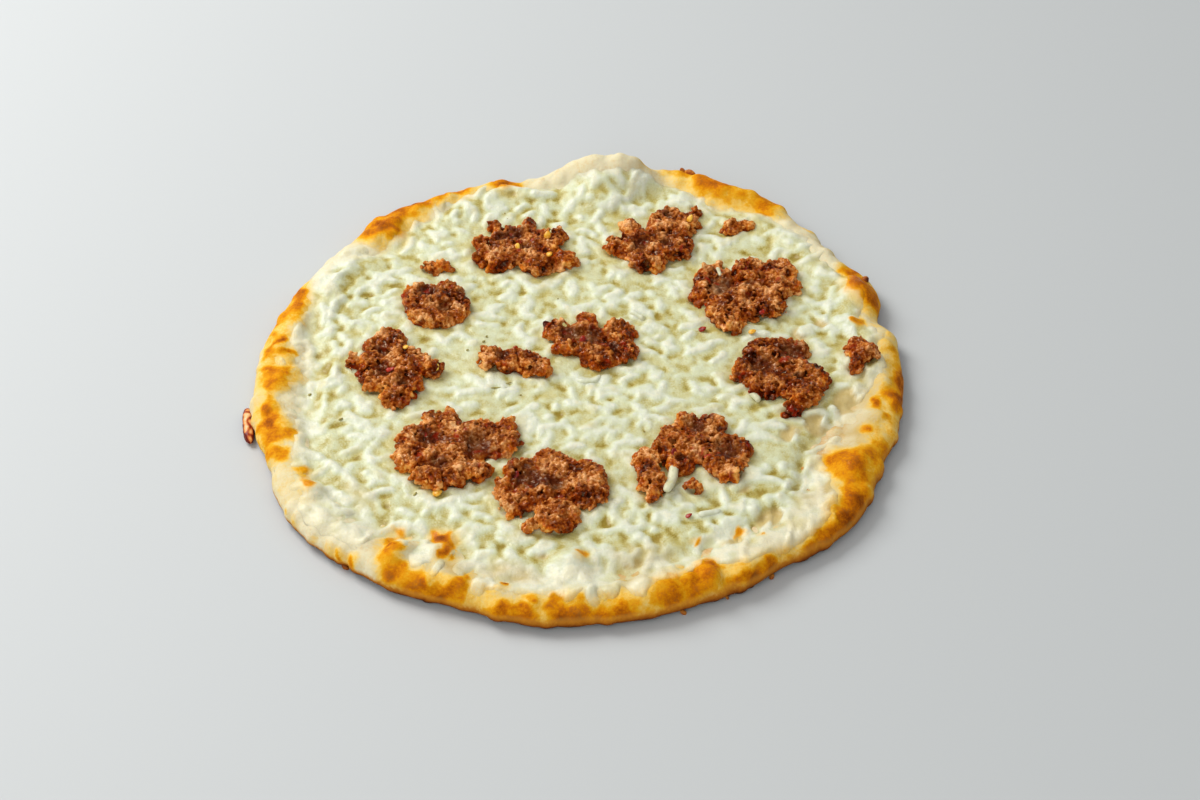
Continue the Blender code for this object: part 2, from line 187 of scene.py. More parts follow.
def ease(share):
    """0 below 0, 1 above 1, and between them 3 s squared minus 2 s cubed."""
    share = np.clip(share, 0, 1)
    return share * share * (3 - 2 * share)


def dice(*whole, seed):
    """An even share of 0 to 1 for each whole-number place, mixed from its bits and a seed."""
    mixed = np.full(np.broadcast(*whole).shape, seed * 2654435761 % 2**32, dtype=np.uint64)
    for k, number in enumerate(whole):
        mixed = (mixed ^ (number.astype(np.int64) + 65536 * (k + 1)).astype(np.uint64)) * 1540483477
        mixed = (mixed ^ (mixed >> np.uint64(15))) % np.uint64(2**32)
    mixed = mixed * 2246822519 % 2**32
    return (mixed ^ (mixed >> np.uint64(13))) / 2**32


def waver(x, y, z, size, seed):
    """Smooth unevenness from about -1 to 1: at each corner of a lattice of the given size a
    random slope, and between the corners their ramps, mixed by the ease curve."""
    place = np.stack(np.broadcast_arrays(x, y, z)) / size
    corner = np.floor(place)
    share = place - corner
    mix = ease(share)
    total = 0
    for step in np.ndindex(2, 2, 2):
        whole = [corner[k] + step[k] for k in range(3)]
        turn = 2 * np.pi * dice(*whole, seed=seed)
        lift = 2 * dice(*whole, seed=seed + 71) - 1
        flat = np.sqrt(1 - lift * lift)
        off = [share[k] - step[k] for k in range(3)]
        ramp = off[0] * flat * np.cos(turn) + off[1] * flat * np.sin(turn) + off[2] * lift
        weight = 1
        for k in range(3):
            weight = weight * (mix[k] if step[k] else 1 - mix[k])
        total = total + weight * ramp
    return total * 1.6


def wavy(x, y, z, waves, start=0):
    """A start value plus smooth unevenness of several heights, sizes and seeds, added up."""
    for height, size, seed in waves:
        start = start + height * waver(x, y, z, size, seed)
    return start


def bent(x, y, z, waves, step=1):
    """A place moved by unevenness along X, and along Y by that of the seeds a step further on."""
    onward = [(height, size, seed + step) for height, size, seed in waves]
    return wavy(x, y, z, waves, x), wavy(x, y, z, onward, y)


def pebbles(x, y, size, seed):
    """Cells of a given size, each about a random point. Gives the distance to the nearest point
    in cell sizes, and an even share of 0 to 1 for each cell."""
    x, y = x / size, y / size
    home_x, home_y = np.floor(x), np.floor(y)
    nearest = np.full(x.shape, 9.0)
    share = np.zeros(x.shape)
    for step_x, step_y in np.ndindex(3, 3):
        cell_x, cell_y = home_x + step_x - 1, home_y + step_y - 1
        point_x = cell_x + dice(cell_x, cell_y, seed=seed)
        point_y = cell_y + dice(cell_x, cell_y, seed=seed + 1)
        distance = np.hypot(x - point_x, y - point_y)
        closer = distance < nearest
        nearest = np.where(closer, distance, nearest)
        share = np.where(closer, dice(cell_x, cell_y, seed=seed + 2), share)
    return nearest, share


def outline_radius(angle):
    """Distance from the middle to the edge of the dough: a round, pulled out towards one corner
    by a cosine of twice the angle, plus a bell for each swell."""
    radius = DOUGH_RADIUS + OVAL_REACH * np.cos(2 * np.radians(angle - OVAL_ANGLE))
    for middle, half_width, reach in EDGE_SWELLS:
        turn = (angle - middle + 180) % 360 - 180
        radius = radius + reach * bell(turn / half_width)
    return radius


def inset_radius(angle, insets):
    """Distance from the middle to a line inside the dough's edge: insets every 15 degrees, joined
    by a Hermite curve whose slopes are half the step between the neighbours."""
    insets = np.array(insets)
    place = (angle % 360) / 360 * len(insets)
    first = np.floor(place).astype(int)
    share = place - first
    before, here, after, beyond = (insets[(first + k) % len(insets)] for k in (-1, 0, 1, 2))
    inset = (
        here * (1 + 2 * share) * (1 - share) ** 2
        + (after - before) / 2 * share * (1 - share) ** 2
        + after * share**2 * (3 - 2 * share)
        + (beyond - here) / 2 * share**2 * (share - 1)
    )
    return outline_radius(angle) - inset


def cheese_radius(angle):
    """Distance from the middle to the edge of the cheese."""
    return inset_radius(angle, CHEESE_INSETS)


def patches(x, y, spots):
    """Sum of bells, each longer along the edge of the pie than across it."""
    total = 0
    for middle_x, middle_y, half_length, half_width, depth in spots:
        outward, along = seen_along(x - middle_x, y - middle_y, np.arctan2(middle_y, middle_x))
        total = total + depth * bell(np.hypot(along / half_length, outward / half_width))
    return total


def dough_height(x, y):
    """Top of the dough: its floor, a rim that falls inwards as a Gauss curve and outwards as a
    quarter ellipse, and the blisters."""
    inset = np.maximum(0, outline_radius(bearing(x, y)) - np.hypot(x, y))
    fall = np.maximum(0, inset - CREST_INSET) / RIM_FALL
    height = FLOOR_HEIGHT + (CREST_HEIGHT - FLOOR_HEIGHT) * np.exp(-fall * fall)
    height = height + patches(x, y, BLISTERS)
    outer = np.maximum(0, 1 - inset / CREST_INSET)
    return BULGE_HEIGHT + (height - BULGE_HEIGHT) * np.sqrt(1 - outer * outer)


def edge_place(angle, inset):
    """A place at an angle and an inset from the dough's edge."""
    return on_ray(outline_radius(angle) - inset, np.radians(angle))


def edge_spots(rows, spread):
    """Place, half sizes and depth of spots along the edge, the half sizes drawn out by a factor."""
    return [
        (*edge_place(angle, inset), spread * length, spread * width, depth)
        for angle, inset, length, width, depth in rows
    ]


def run_over(x, y):
    """How far cheese ran over the rim at a place, 0 to 1: bells along the edge, bent a little."""
    spots = edge_spots([(*run, RUN_DEPTH) for run in RUNS], RUN_SPREAD)
    return np.clip(patches(*bent(x, y, 0, RUN_BEND), spots), 0, 1)


def toasting(x, y, z):
    """How far the crust is browned, 0 to 1: the browned places added up and levelled off by an
    exponential curve, their borders torn by several sizes of unevenness. Cheese that ran over
    the rim kept it pale."""
    depth = patches(*bent(x, y, z, BROWN_BEND, step=2), edge_spots(BROWNED, BROWNED_SPREAD))
    depth = wavy(x, y, z, BROWN_GRAIN, depth * wavy(x, y, z, BROWN_CLOUDS, 1)) - BROWN_LOSS
    depth = depth - run_over(x, y)
    return 1 - np.exp(-np.maximum(depth, 0))


def stain_and_shade_share(x, y, baked):
    """Share of the rim's darker patches, partly fat in its skin and partly painted shade: patchy, and
    less where cheese ran over it or it browned.
    """
    pale = (1 - 0.4 * run_over(x, y)) * (1 - ease(baked / 0.5))
    patchy = 1.15 + 0.8 * waver(x, y, 0, 5, 54)
    return np.clip(patches(x, y, edge_spots(STAINS_AND_SHADE, 1)) * patchy * pale, 0, 0.9)


def tanning(x, y, z):
    """The toasting, and round it the soft golden margin of each browned place."""
    warp = 2.5 * waver(x, y, z, 8, 12)
    margin = patches(x + warp, y - warp, edge_spots(BROWNED, GILDED_SPREAD)) - 0.3 * run_over(x, y)
    return np.maximum(toasting(x, y, z), 0.4 * (1 - np.exp(-np.maximum(margin, 0))))


def blistering(x, y, z, baked):
    """Rise of the crust's skin: three sizes of unevenness, a scatter of round bubbles, and a
    little where it browned. It dies away under the cheese and at the foot."""
    bubble, drawn = pebbles(x, y, BUBBLE_CELL, 11)
    bubbles = BUBBLE_HEIGHT * bell(bubble * BUBBLE_SHRINK) * (drawn > FLAT_SHARE)
    swell = wavy(x, y, z, SKIN_SWELL) + bubbles + BROWN_RISE * baked
    bare = ease((np.hypot(x, y) - cheese_radius(bearing(x, y)) + 4) / 4)
    return swell * bare * ease(z / 2)


def push_out(rings, height):
    """Moves each point of rings of points along the surface's normal, which is the cross product
    of the step round the ring and the step to the next ring."""
    around = np.roll(rings, -1, axis=-2) - np.roll(rings, 1, axis=-2)
    onward = np.gradient(rings, axis=-3)
    normal = np.cross(around, onward)
    normal /= np.maximum(np.linalg.norm(normal, axis=-1, keepdims=True), 1e-9)
    return rings + normal * height[..., None]


def closed_skin(rings):
    """Points and faces of closed bodies. Each body is a stack of rings of points that run
    anticlockwise from above, from its lower end to its upper, and a fan closes each end."""
    rings = rings.reshape(-1, *rings.shape[-3:])
    bodies, levels, around, _ = rings.shape
    ends = rings[:, [0, -1]].mean(axis=2)
    points = np.concatenate([rings.reshape(bodies, -1, 3), ends], axis=1)
    here = np.arange(around)
    after = (here + 1) % around
    low = around * np.arange(levels - 1)[:, None]
    sides = np.stack([low + here, low + after, low + after + around, low + here + around], -1)
    top = around * (levels - 1)
    tip = np.full(around, around * levels)
    fans = np.concatenate([
        np.stack([after, here, tip], -1),
        np.stack([top + here, top + after, tip + 1], -1),
    ])
    first = points.shape[1] * np.arange(bodies)[:, None, None]
    quads = (sides.reshape(-1, 4) + first).reshape(-1, 4)
    return points.reshape(-1, 3), quads, (fans + first).reshape(-1, 3)


def lay_shades(mesh, shades):
    """Lays each shade on the mesh as a value per point."""
    for shade, values in shades.items():
        layer = mesh.attributes.new(shade, "FLOAT", "POINT")
        layer.data.foreach_set("value", values.astype(np.float32).ravel())


def mesh_object(name, points, quads, triangles, **shades):
    """A smooth-shaded object from points in millimetres. Each shade becomes a value per point."""
    mesh = bpy.data.meshes.new(name)
    corners = np.concatenate([quads.ravel(), triangles.ravel()]).astype(np.int32)
    starts = np.concatenate([
        4 * np.arange(len(quads)), 4 * len(quads) + 3 * np.arange(len(triangles)),
    ]).astype(np.int32)
    mesh.vertices.add(len(points))
    mesh.vertices.foreach_set("co", (points * MM).astype(np.float32).ravel())
    mesh.loops.add(len(corners))
    mesh.loops.foreach_set("vertex_index", corners)
    mesh.polygons.add(len(starts))
    mesh.polygons.foreach_set("loop_start", starts)
    mesh.update(calc_edges=True)
    mesh.validate()
    mesh.shade_smooth()
    lay_shades(mesh, shades)
    piece = bpy.data.objects.new(name, mesh)
    bpy.context.scene.collection.objects.link(piece)
    return piece


def paint(code):
    """An sRGB hex colour turned linear, with an alpha of 1."""
    shares = np.array([int(code[k:k + 2], 16) / 255 for k in (1, 3, 5)])
    linear = np.where(shares <= 0.04045, shares / 12.92, ((shares + 0.055) / 1.055) ** 2.4)
    return (*linear.tolist(), 1)


def add(material, kind, sockets=None, stops=None, out=None, **settings):
    """Adds a node with its settings, the stops of its colour ramp, and a value or link for each
    socket, in order or by name. Gives the named output, or the first in use."""
    node = material.node_tree.nodes.new("ShaderNode" + kind)
    for name, value in settings.items():
        setattr(node, name, value)
    if stops:
        ramp = node.color_ramp.elements
        while len(ramp) < len(stops):
            ramp.new(0.5)
        for element, (position, _) in zip(ramp, stops):
            element.position = position
        for element, (_, colour) in zip(ramp, stops):
            element.color = paint(colour)
    if isinstance(sockets, tuple):
        sockets = dict(enumerate(sockets))
    for name, value in (sockets or {}).items():
        if isinstance(value, bpy.types.NodeSocket):
            material.node_tree.links.new(value, node.inputs[name])
        else:
            node.inputs[name].default_value = value
    return node.outputs[out] if out else next(socket for socket in node.outputs if socket.enabled)


def new_material(name):
    """An empty node material, and the place on the piece by which its patterns are laid."""
    material = bpy.data.materials.new(name)
    material.use_nodes = True
    material.node_tree.nodes.clear()
    return material, add(material, "TexCoord", out="Object")


def finish_surface(material, sockets):
    """Gives a material its shader, with the index of fat and baked crust where none is named."""
    shader = add(material, "BsdfPrincipled", {"IOR": 1.45, **sockets})
    output = material.node_tree.nodes.new("ShaderNodeOutputMaterial")
    material.node_tree.links.new(shader, output.inputs["Surface"])
    return material


def dough_surface(around, rows):
    """The dough's rings: under the pie a disc, at the side two quarter ellipses that meet at the
    bulge, then the rim and the floor under the cheese."""
    angle = 360 * np.arange(around) / around
    edge = outline_radius(angle)
    rise = np.linspace(0, np.pi / 2, rows // 7)[1:]
    below = [(UNDERSIDE_INSET * (1 - np.sin(t)), BULGE_HEIGHT * (1 - np.cos(t))) for t in rise]
    fall = np.linspace(0, np.pi / 2, rows // 3)[1:]
    above = [CREST_INSET * (1 - np.cos(t)) for t in fall]
    above += list(np.linspace(CREST_INSET, FINE_REACH, rows - len(rise) - len(fall))[1:])
    under = UNDER_INSETS + [UNDERSIDE_INSET]
    insets = np.array(under + [inset for inset, _ in below] + above + FLOOR_INSETS)
    x, y = on_ray(edge - insets[:, None], np.radians(angle))
    z = np.zeros(x.shape)
    count = len(under) + len(below)
    z[len(under):count] = np.array([height for _, height in below])[:, None]
    z[count:] = dough_height(x[count:], y[count:])
    return np.stack([x, y, z], -1)


rings = dough_surface(around=1100, rows=84)
x, y, z = np.moveaxis(rings, -1, 0)
baked = toasting(x, y, z)
inward = cheese_radius(bearing(x, y)) - np.hypot(x, y)
hidden = ease((inward - HIDDEN_INSET) / HIDDEN_SPAN) * (z > BULGE_HEIGHT)
rings = push_out(rings, blistering(x, y, z, baked) - HIDDEN_SINK * hidden)
baked = tanning(x, y, z)
rings[..., 2] = np.maximum(rings[..., 2], 0)
patchy = waver(rings[..., 0], rings[..., 1], 0, 24, 13)
facing = np.cos(np.arctan2(rings[..., 1], rings[..., 0]) - np.radians(FOOT_SIDE))
reach = FOOT_HEIGHT + FOOT_LEAN * facing + patchy
foot = np.clip(1.25 - rings[..., 2] / reach, 0, 1) * (1 - hidden)
# The rim's darker patches, partly fat soak and partly painted shade.
shades = {"baked": baked, "foot": foot, "stain_and_shade": stain_and_shade_share(x, y, baked)}
shades = {shade: np.append(values, [0, 0]) for shade, values in shades.items()}
dough = mesh_object("dough", *closed_skin(rings), **shades)


def baked_dough():
    """Baked wheat dough, washed with a little oil: matt and cream where pale, through gold and
    orange to brown where blistered, with fine pores 1.2 mm apart and a dusty, darker foot."""
    material, place = new_material("baked_wheat_dough")
    baked, foot, stain_and_shade = (
        add(material, "Attribute", attribute_name=key, out="Fac") for key in ("baked", "foot", "stain_and_shade")
    )
    grain = add(material, "TexNoise", {"Vector": place, "Scale": 900, "Detail": 4, "Roughness": 0.65})
    cloud = add(material, "TexNoise", {"Vector": place, "Scale": 210, "Detail": 3})
    speck = add(material, "Math", (grain, 0.46, -0.23), operation="MULTIPLY_ADD")
    drift = add(material, "Math", (cloud, 0.5, -0.25), operation="MULTIPLY_ADD")
    shift = add(material, "Math", (speck, drift), operation="ADD")
    strength = add(material, "MapRange", {"Value": baked, "From Max": 0.5, "To Min": 0.3, "To Max": 1})
    depth = add(material, "Math", (shift, strength, baked), operation="MULTIPLY_ADD")
    crust = add(material, "ValToRGB", {"Fac": depth}, stops=CRUST_TONES)
    low = add(material, "Math", (shift, 0.7, foot), operation="MULTIPLY_ADD")
    sand = add(material, "ValToRGB", {"Fac": low}, stops=[
        (0.15, "#D2943A"), (0.4, "#BE761E"), (0.7, "#924C10"), (0.92, "#4C240A"),
    ])
    dusty = add(material, "MapRange", {"Value": low, "From Min": 0.02, "From Max": 0.4})
    colour = add(material, "Mix", {"Factor": dusty, 6: crust, 7: sand}, data_type="RGBA")
    # Darkens the rim's patches, partly fat soak and partly painted shade.
    soaked_and_shaded = add(material, "Mix", {"Factor": stain_and_shade, 6: colour, 7: paint("#BC9A54")}, data_type="RGBA")
    pores = add(material, "TexVoronoi", {"Vector": place, "Scale": 800}, feature="SMOOTH_F1")
    fine = add(material, "Bump", {"Strength": 0.55, "Distance": 0.0005, "Height": grain})
    bump = add(material, "Bump", {"Strength": 0.25, "Distance": 0.0003, "Height": pores, "Normal": fine})
    gloss = add(material, "MapRange", {"Value": baked, "To Min": 0.66, "To Max": 0.6})
    return finish_surface(material, {
        "Base Color": soaked_and_shaded, "Roughness": gloss, "Normal": bump, "Specular IOR Level": 0.05,
        "Subsurface Weight": 0.1, "Subsurface Radius": (1, 0.6, 0.3), "Subsurface Scale": 0.002,
    })


dough.data.materials.append(baked_dough())
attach(dough, "root")
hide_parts("crust")

# The cheese: a mild white cheese, grated in shreds 3 mm wide and strewn over the dough. In the
# oven the shreds slump into soft ropes and smooth pools, and thin to a film where they end.
CHEESE_EDGE = 1.1
CHEESE_DEPTH = 2.9
CHEESE_SWELL = 9
# How far in from the dough's edge the film of cheese ends, every 15 degrees
FILM_INSETS = [
    8, 7, 6, 7, 13, 10, 12, 8, 13, 13, 4.5, 9, 13, 10, 4.5, 4.5, 8, 6, 5, 7, 4.5, 4.5, 17, 20,
]
FILM_DEPTH = 0.3
# Gaps in the bed where the dough shows: place, half length along the edge, half width, share
GAPS = [
    (100, -15, 11, 8, 1.1), (88, -27, 9, 8, 1), (78, -33, 8, 6, 0.9), (92, -61, 9, 5, 0.9),
    (69, -76, 10, 6, 1), (20, -99, 7, 4, 0.8), (84, 22, 8, 5, 0.7), (55, -88, 8, 4, 0.7),
    (93, 28, 6, 6, 0.7), (-12, -97, 5, 3, 0.6), (60, -62, 6, 4, 0.6), (45, 98, 9, 4, 0.6),
]
GAP_DEPTH = 0.7
# Long strands pulled over the rim: half width, height, then the angle and inset of each bend.
# Beside each runs a groove, wider by a factor and a share as deep
STRANDS = [
    (2.2, 1.5, [(309, 3), (312, 9), (315, 17), (317, 25), (323, 29)]),
    (2.0, 1.4, [(314, 3), (317, 10), (320, 19), (324, 24), (332, 26)]),
    (1.8, 1.2, [(320, 8), (323, 16), (331, 21)]), (2.2, 1.4, [(301, 7), (307, 20), (313, 29)]),
    (1.8, 1.3, [(334, 28), (339, 21), (343, 18), (349, 25)]), (1.5, 0.8, [(226, 7), (224, 16)]),
    (2.5, 0.9, [(206, 17), (213, 24), (220, 27), (228, 25)]),
    (1.6, 0.9, [(232, 4), (230, 13), (232, 24)]), (1.6, 0.9, [(207, 12), (214, 15), (222, 13)]),
    (1.6, 1.0, [(352, 16), (356, 12), (362, 15)]),
    (2.6, 1.0, [(141, 14), (150, 12), (158, 13), (166, 19)]),
    (1.6, 0.9, [(76, 3), (78, 11), (80, 18)]),
    (2.6, 1.1, [(150, 21), (160, 19), (168, 22), (176, 29)]),
    (1.7, 1.0, [(2, 21), (8, 17), (14, 13)]),
    (2.6, 1.0, [(172, 17), (180, 20), (188, 22), (196, 17), (203, 12)]),
    (2.4, 1.0, [(176, 31), (186, 28), (196, 24)]), (2.2, 1.0, [(10, 25), (18, 22), (26, 17)]),
]
GROOVE_WIDTH = 2.6
GROOVE_DEPTH = 0.35
# Height, size and seed of the unevenness that bends the strands
STRAND_BEND = [(1.7, 7, 51)]
# Room between the dough and the cheese on it
GAP = 0.3
# A clump's seat: how far it is sunk, and over what distance its tilt is read
SEAT_SINK = 0.6
SEAT_SPAN = 6
# Sujuk clumps, which leave their seats in the cheese: middle and lobes (place, radius), and how
# softly the lobes run together
LOBE_BLEND = 0.9
SUJUK_CLUMPS = {
    "back_left": (-23, 71, [
        (-3, 0, 12.5), (8, 2, 8), (-13, -3, 7), (16, -8, 5.5), (5, -11, 6.5), (-18, 0, 4),
        (-12.5, 12, 3.5), (-11, -10, 6), (1, 14, 3), (13, 8, 3), (-18, -8, 3),
    ]),
    "back_right": (30, 76, [
        (-17, -5, 5), (-7, -3, 9), (-4, -12, 8), (4, -3, 9.5), (5, 8, 9.5), (8, -2, 7), (13, 12, 4.5),
        (-11, 8, 4.5), (5, 16, 5), (15, 18, 2.5),
    ]),
    "back_right_crumb": (62, 86, [(-2, -1, 4.4), (4, 1, 3.3)]),
    "right_back": (63, 45, [
        (-18, -3, 4.5), (-11, 6, 8.5), (3, 12, 7.5), (15, 12, 7.5), (4, -5, 11.5), (-7, -12, 8.5),
        (-5, -19, 5), (-11, 0, 8), (12, -9, 5.5), (20, 4, 3.5), (-9, 16, 2.5), (13, 2, 6.5),
    ]),
    "right": (77, -3, [
        (-7, 12, 8), (1, 12, 8.5), (-13, 3, 6.5), (0, 0, 11), (9, -2, 8), (-8, -6, 7), (7, -9, 8),
        (2, -19, 4), (-18, -1, 2.5), (7, 15, 3.5),
    ]),
    "right_edge": (106, 6, [(-1, 5, 5), (3, 0, 4.5), (-2, -6, 3.5), (0, -1, 4)]),
    "middle": (5, 14, [
        (-14, 6, 6), (-3, 13, 4), (-4, 2, 9), (10, 6, 6.5), (11, -5, 6.5), (2, -8, 7), (-11, -2, 5),
    ]),
    "middle_left": (-24, 3, [(-10, 1, 5.8), (-5, 0, 5.8), (-1, 0, 6), (5, -2, 6.2), (9, -4, 5)]),
    "left_back": (-56, 35, [(-5, 4, 8.5), (3, 5, 7.5), (6, -2, 8), (-4, -3, 9), (2, -6, 7.5)]),
    "left_back_crumb": (-58, 58, [(-2, 0, 4), (3, 1, 3)]),
    "left": (-70, -2, [
        (-3, 15, 6.5), (-8, 10, 5.5), (-16, 3, 3.5), (-2, 5, 8.5), (7, 3, 7), (14, 0, 4.5),
        (-6, -7, 6.5), (4, -9, 8), (1, -16, 5.5), (-9, 1, 5),
    ]),
    "front_left": (-45, -46, [
        (-6, 14, 7.5), (-15, 5, 7), (-16, -5, 6.5), (-3, 1, 12), (9, 5, 10), (17, 5, 7), (-1, -12, 7.5),
        (9, -11, 5.5), (19, 13, 4), (-10, -14, 5), (-5, -18, 3.5),
    ]),
    "front": (-10, -65, [
        (0, 13, 6.5), (-10, 7, 7.5), (-17, 0, 4.5), (2, 4, 11), (13, 6, 7.5), (14, -2, 7.5),
        (-12, -8, 6.5), (3, -14, 8.5), (-5, -3, 6.5), (-6, -19, 3),
    ]),
    "front_right": (40, -47, [
        (0, 16, 5.5), (9, 16, 5.5), (-6, 9, 5.5), (6, 5, 10.5), (17, 3, 6.5), (-15, -3, 5.5),
        (-13, -14, 5.5), (14, -7, 7), (-9, 1, 5), (-3, -5, 5.5), (-13, -21, 3.5), (2, -16, 3.5),
        (-14, -8, 4.5),
    ]),
}
# Shreds in the heap, and on top of it: how many, their length and width
HEAP_SHREDS = (5200, (4, 9), (2.8, 4.4))
TOP_SHREDS = (1600, (5, 12), (2.9, 4.2))
SHRED_THICKNESS = (1.1, 2.0)
SHRED_BEND = 0.04
HEAP_RADIUS = 124
HEAP_DEPTH = 0.6
# How far the heat rounded the shreds off in each, the reach over which its mean level is taken,
# and the share of its relief that is left
HEAP_BLUR, HEAP_LEVEL, HEAP_SHARE = 0.68, 5, 0.47
TOP_BLUR, TOP_LEVEL, TOP_SHARE = 0.54, 8, 0.72
# How much less the shreds on top differ in height, and the rise of the curds between them
TOP_DEPTH = 0.4
CURD_HEIGHT = 0.34
RASTER_STEP = 0.3
RASTER_REACH = 128
# How far the shreds melted together, less to the right, more within a margin of the meat
MELTED = 0.22
MELT_LEAN = 0.0015
MELT_WAVES = [(0.75, 30, 21), (0.35, 12, 22)]
MELT_MARGIN = 7
MELTED_BY_FAT = 0.35
# How far the bed reaches past its line, over what distance it runs out, and its unevenness
BED_REACH = 2.5
BED_FADE = 8
BED_WANDER = [(2.2, 12, 25), (1.2, 5, 26)]
BED_MOUNDS = [(0.5, 15, 29)]
# How the film's edge is torn, and how much further it reaches where cheese ran over the rim
FILM_TEARS = [(2.5, 9, 27), (1.5, 4, 28)]
RUN_REACH = 5
# Depth of the seat under a clump below the cheese beside it, and the width of its slope
SEAT_DEPTH = 0.9
SEAT_SLOPE = 2.5
# How far the cheese's mesh ends inside the dough's edge, and the shares of its radius at which
# the rings of its underside lie
SKIN_INSET = 1.5
UNDER_SHARES = np.array([[0.98], [0.7], [0.3]])


def level_height(x, y):
    """Top of the cheese with its lumps smoothed away."""
    from_edge = cheese_radius(bearing(x, y)) - np.hypot(x, y)
    depth = CHEESE_EDGE + (CHEESE_DEPTH - CHEESE_EDGE) * ease(from_edge / CHEESE_SWELL)
    return dough_height(x, y) + GAP + depth


def seat_height(x, y, clump):
    """The flat, tilted seat of a clump: the level cheese at its middle, less the sink, and its
    slopes along X and Y read over the seat's span."""
    middle_x, middle_y = clump[:2]
    height = level_height(middle_x, middle_y) - SEAT_SINK
    for ahead_x, ahead_y in ((SEAT_SPAN, 0), (0, SEAT_SPAN)):
        front = level_height(middle_x + ahead_x, middle_y + ahead_y)
        behind = level_height(middle_x - ahead_x, middle_y - ahead_y)
        slope = (front - behind) / (2 * SEAT_SPAN)
        height = height + slope * ((x - middle_x) * ahead_x + (y - middle_y) * ahead_y) / SEAT_SPAN
    return height


def lobe_distance(x, y, clump):
    """Distance from a place to a clump seen from above, negative inside it. The lobes run into
    each other by a soft minimum: less the logarithm of the sum of their exponentials."""
    middle_x, middle_y, lobes = clump
    distances = np.stack([
        np.hypot(x - middle_x - lobe_x, y - middle_y - lobe_y) - radius
        for lobe_x, lobe_y, radius in lobes
    ])
    nearest = distances.min(axis=0)
    return nearest - LOBE_BLEND * np.log(np.exp((nearest - distances) / LOBE_BLEND).sum(axis=0))


def clump_distance(x, y):
    """Distance to the nearest clump."""
    return np.min([lobe_distance(x, y, clump) for clump in SUJUK_CLUMPS.values()], axis=0)


def melting(x, y):
    """How far the shreds have run together, 0 to 1: smooth stretches about 30 mm long, fewer on
    the right, and a margin round each clump, whose fat melts the cheese beside it."""
    run = wavy(x, y, 0, MELT_WAVES, MELTED - MELT_LEAN * x)
    near = np.maximum(0, clump_distance(x, y)) / MELT_MARGIN
    return np.clip(run + MELTED_BY_FAT * bell(near), 0, 1)


def strewn_shreds(count, lengths, widths, seed):
    """Shreds of cheese where they fell: place, turn, length, width, thickness, how high each
    lies in the heap, and its bend. One row a shred, drawn from a seeded box of numbers."""
    draw = np.random.default_rng(seed)
    radius = HEAP_RADIUS * np.sqrt(draw.random(count))
    angle = 2 * np.pi * draw.random(count)
    return np.stack([
        *on_ray(radius, angle), np.pi * draw.random(count), draw.uniform(*lengths, count),
        draw.uniform(*widths, count), draw.uniform(*SHRED_THICKNESS, count),
        HEAP_DEPTH * draw.random(count), draw.normal(0, SHRED_BEND, count),
    ], -1)


def heap_relief(shreds):
    """The heaped shreds seen from above as a height map: the highest of all the shreds' round
    backs, each half an ellipse across and rounded off at its ends."""
    axis = np.arange(-RASTER_REACH, RASTER_REACH + RASTER_STEP, RASTER_STEP)
    relief = np.zeros((len(axis), len(axis)))
    for x, y, turn, length, width, thick, lie, bend in shreds:
        reach = length / 2 + width
        low_x, low_y = (int((v - reach + RASTER_REACH) / RASTER_STEP) for v in (x, y))
        low_x, low_y = max(low_x, 0), max(low_y, 0)
        span = int(2 * reach / RASTER_STEP)
        off_x = axis[low_x:low_x + span][None, :] - x
        off_y = axis[low_y:low_y + span][:, None] - y
        along, across = seen_along(off_x, off_y, turn)
        across = across - bend * along * along
        beyond = np.maximum(np.abs(along) - (length - width) / 2, 0)
        round_back = np.sqrt(np.maximum(0, 1 - (beyond**2 + across**2) / (width / 2) ** 2))
        window = relief[low_y:low_y + span, low_x:low_x + span]
        np.maximum(window, np.where(round_back > 0, lie + thick * round_back, 0), out=window)
    return relief


def blurred(relief, reach):
    """A height map smoothed by a Gauss curve of a reach in millimetres, first along one side and
    then along the other."""
    steps = int(3 * reach / RASTER_STEP)
    offsets = np.arange(-steps, steps + 1)
    weights = np.exp(-0.5 * (offsets * RASTER_STEP / reach) ** 2)
    weights /= weights.sum()
    for axis in (0, 1):
        relief = sum(w * np.roll(relief, k, axis=axis) for w, k in zip(weights, offsets))
    return relief


def read_map(relief, x, y):
    """Value of a height map at any place, from its four nearest points."""
    across = np.clip((x + RASTER_REACH) / RASTER_STEP, 0, relief.shape[1] - 2)
    up = np.clip((y + RASTER_REACH) / RASTER_STEP, 0, relief.shape[0] - 2)
    column, row = across.astype(int), up.astype(int)
    across, up = across - column, up - row
    lower = relief[row, column] * (1 - across) + relief[row, column + 1] * across
    upper = relief[row + 1, column] * (1 - across) + relief[row + 1, column + 1] * across
    return lower * (1 - up) + upper * up


heap = heap_relief(strewn_shreds(*HEAP_SHREDS, seed=7))
soft_heap = blurred(heap, HEAP_BLUR) - blurred(heap, HEAP_LEVEL)
shreds = strewn_shreds(*TOP_SHREDS, seed=8)
whole = np.random.default_rng(9).random(len(shreds)) > 0.85 * melting(shreds[:, 0], shreds[:, 1])
shreds = shreds[whole]
top_heap = blurred(heap_relief(shreds * [1, 1, 1, 1, 1, 1, TOP_DEPTH, 1]), TOP_BLUR)
top_heap = top_heap - blurred(top_heap, TOP_LEVEL)


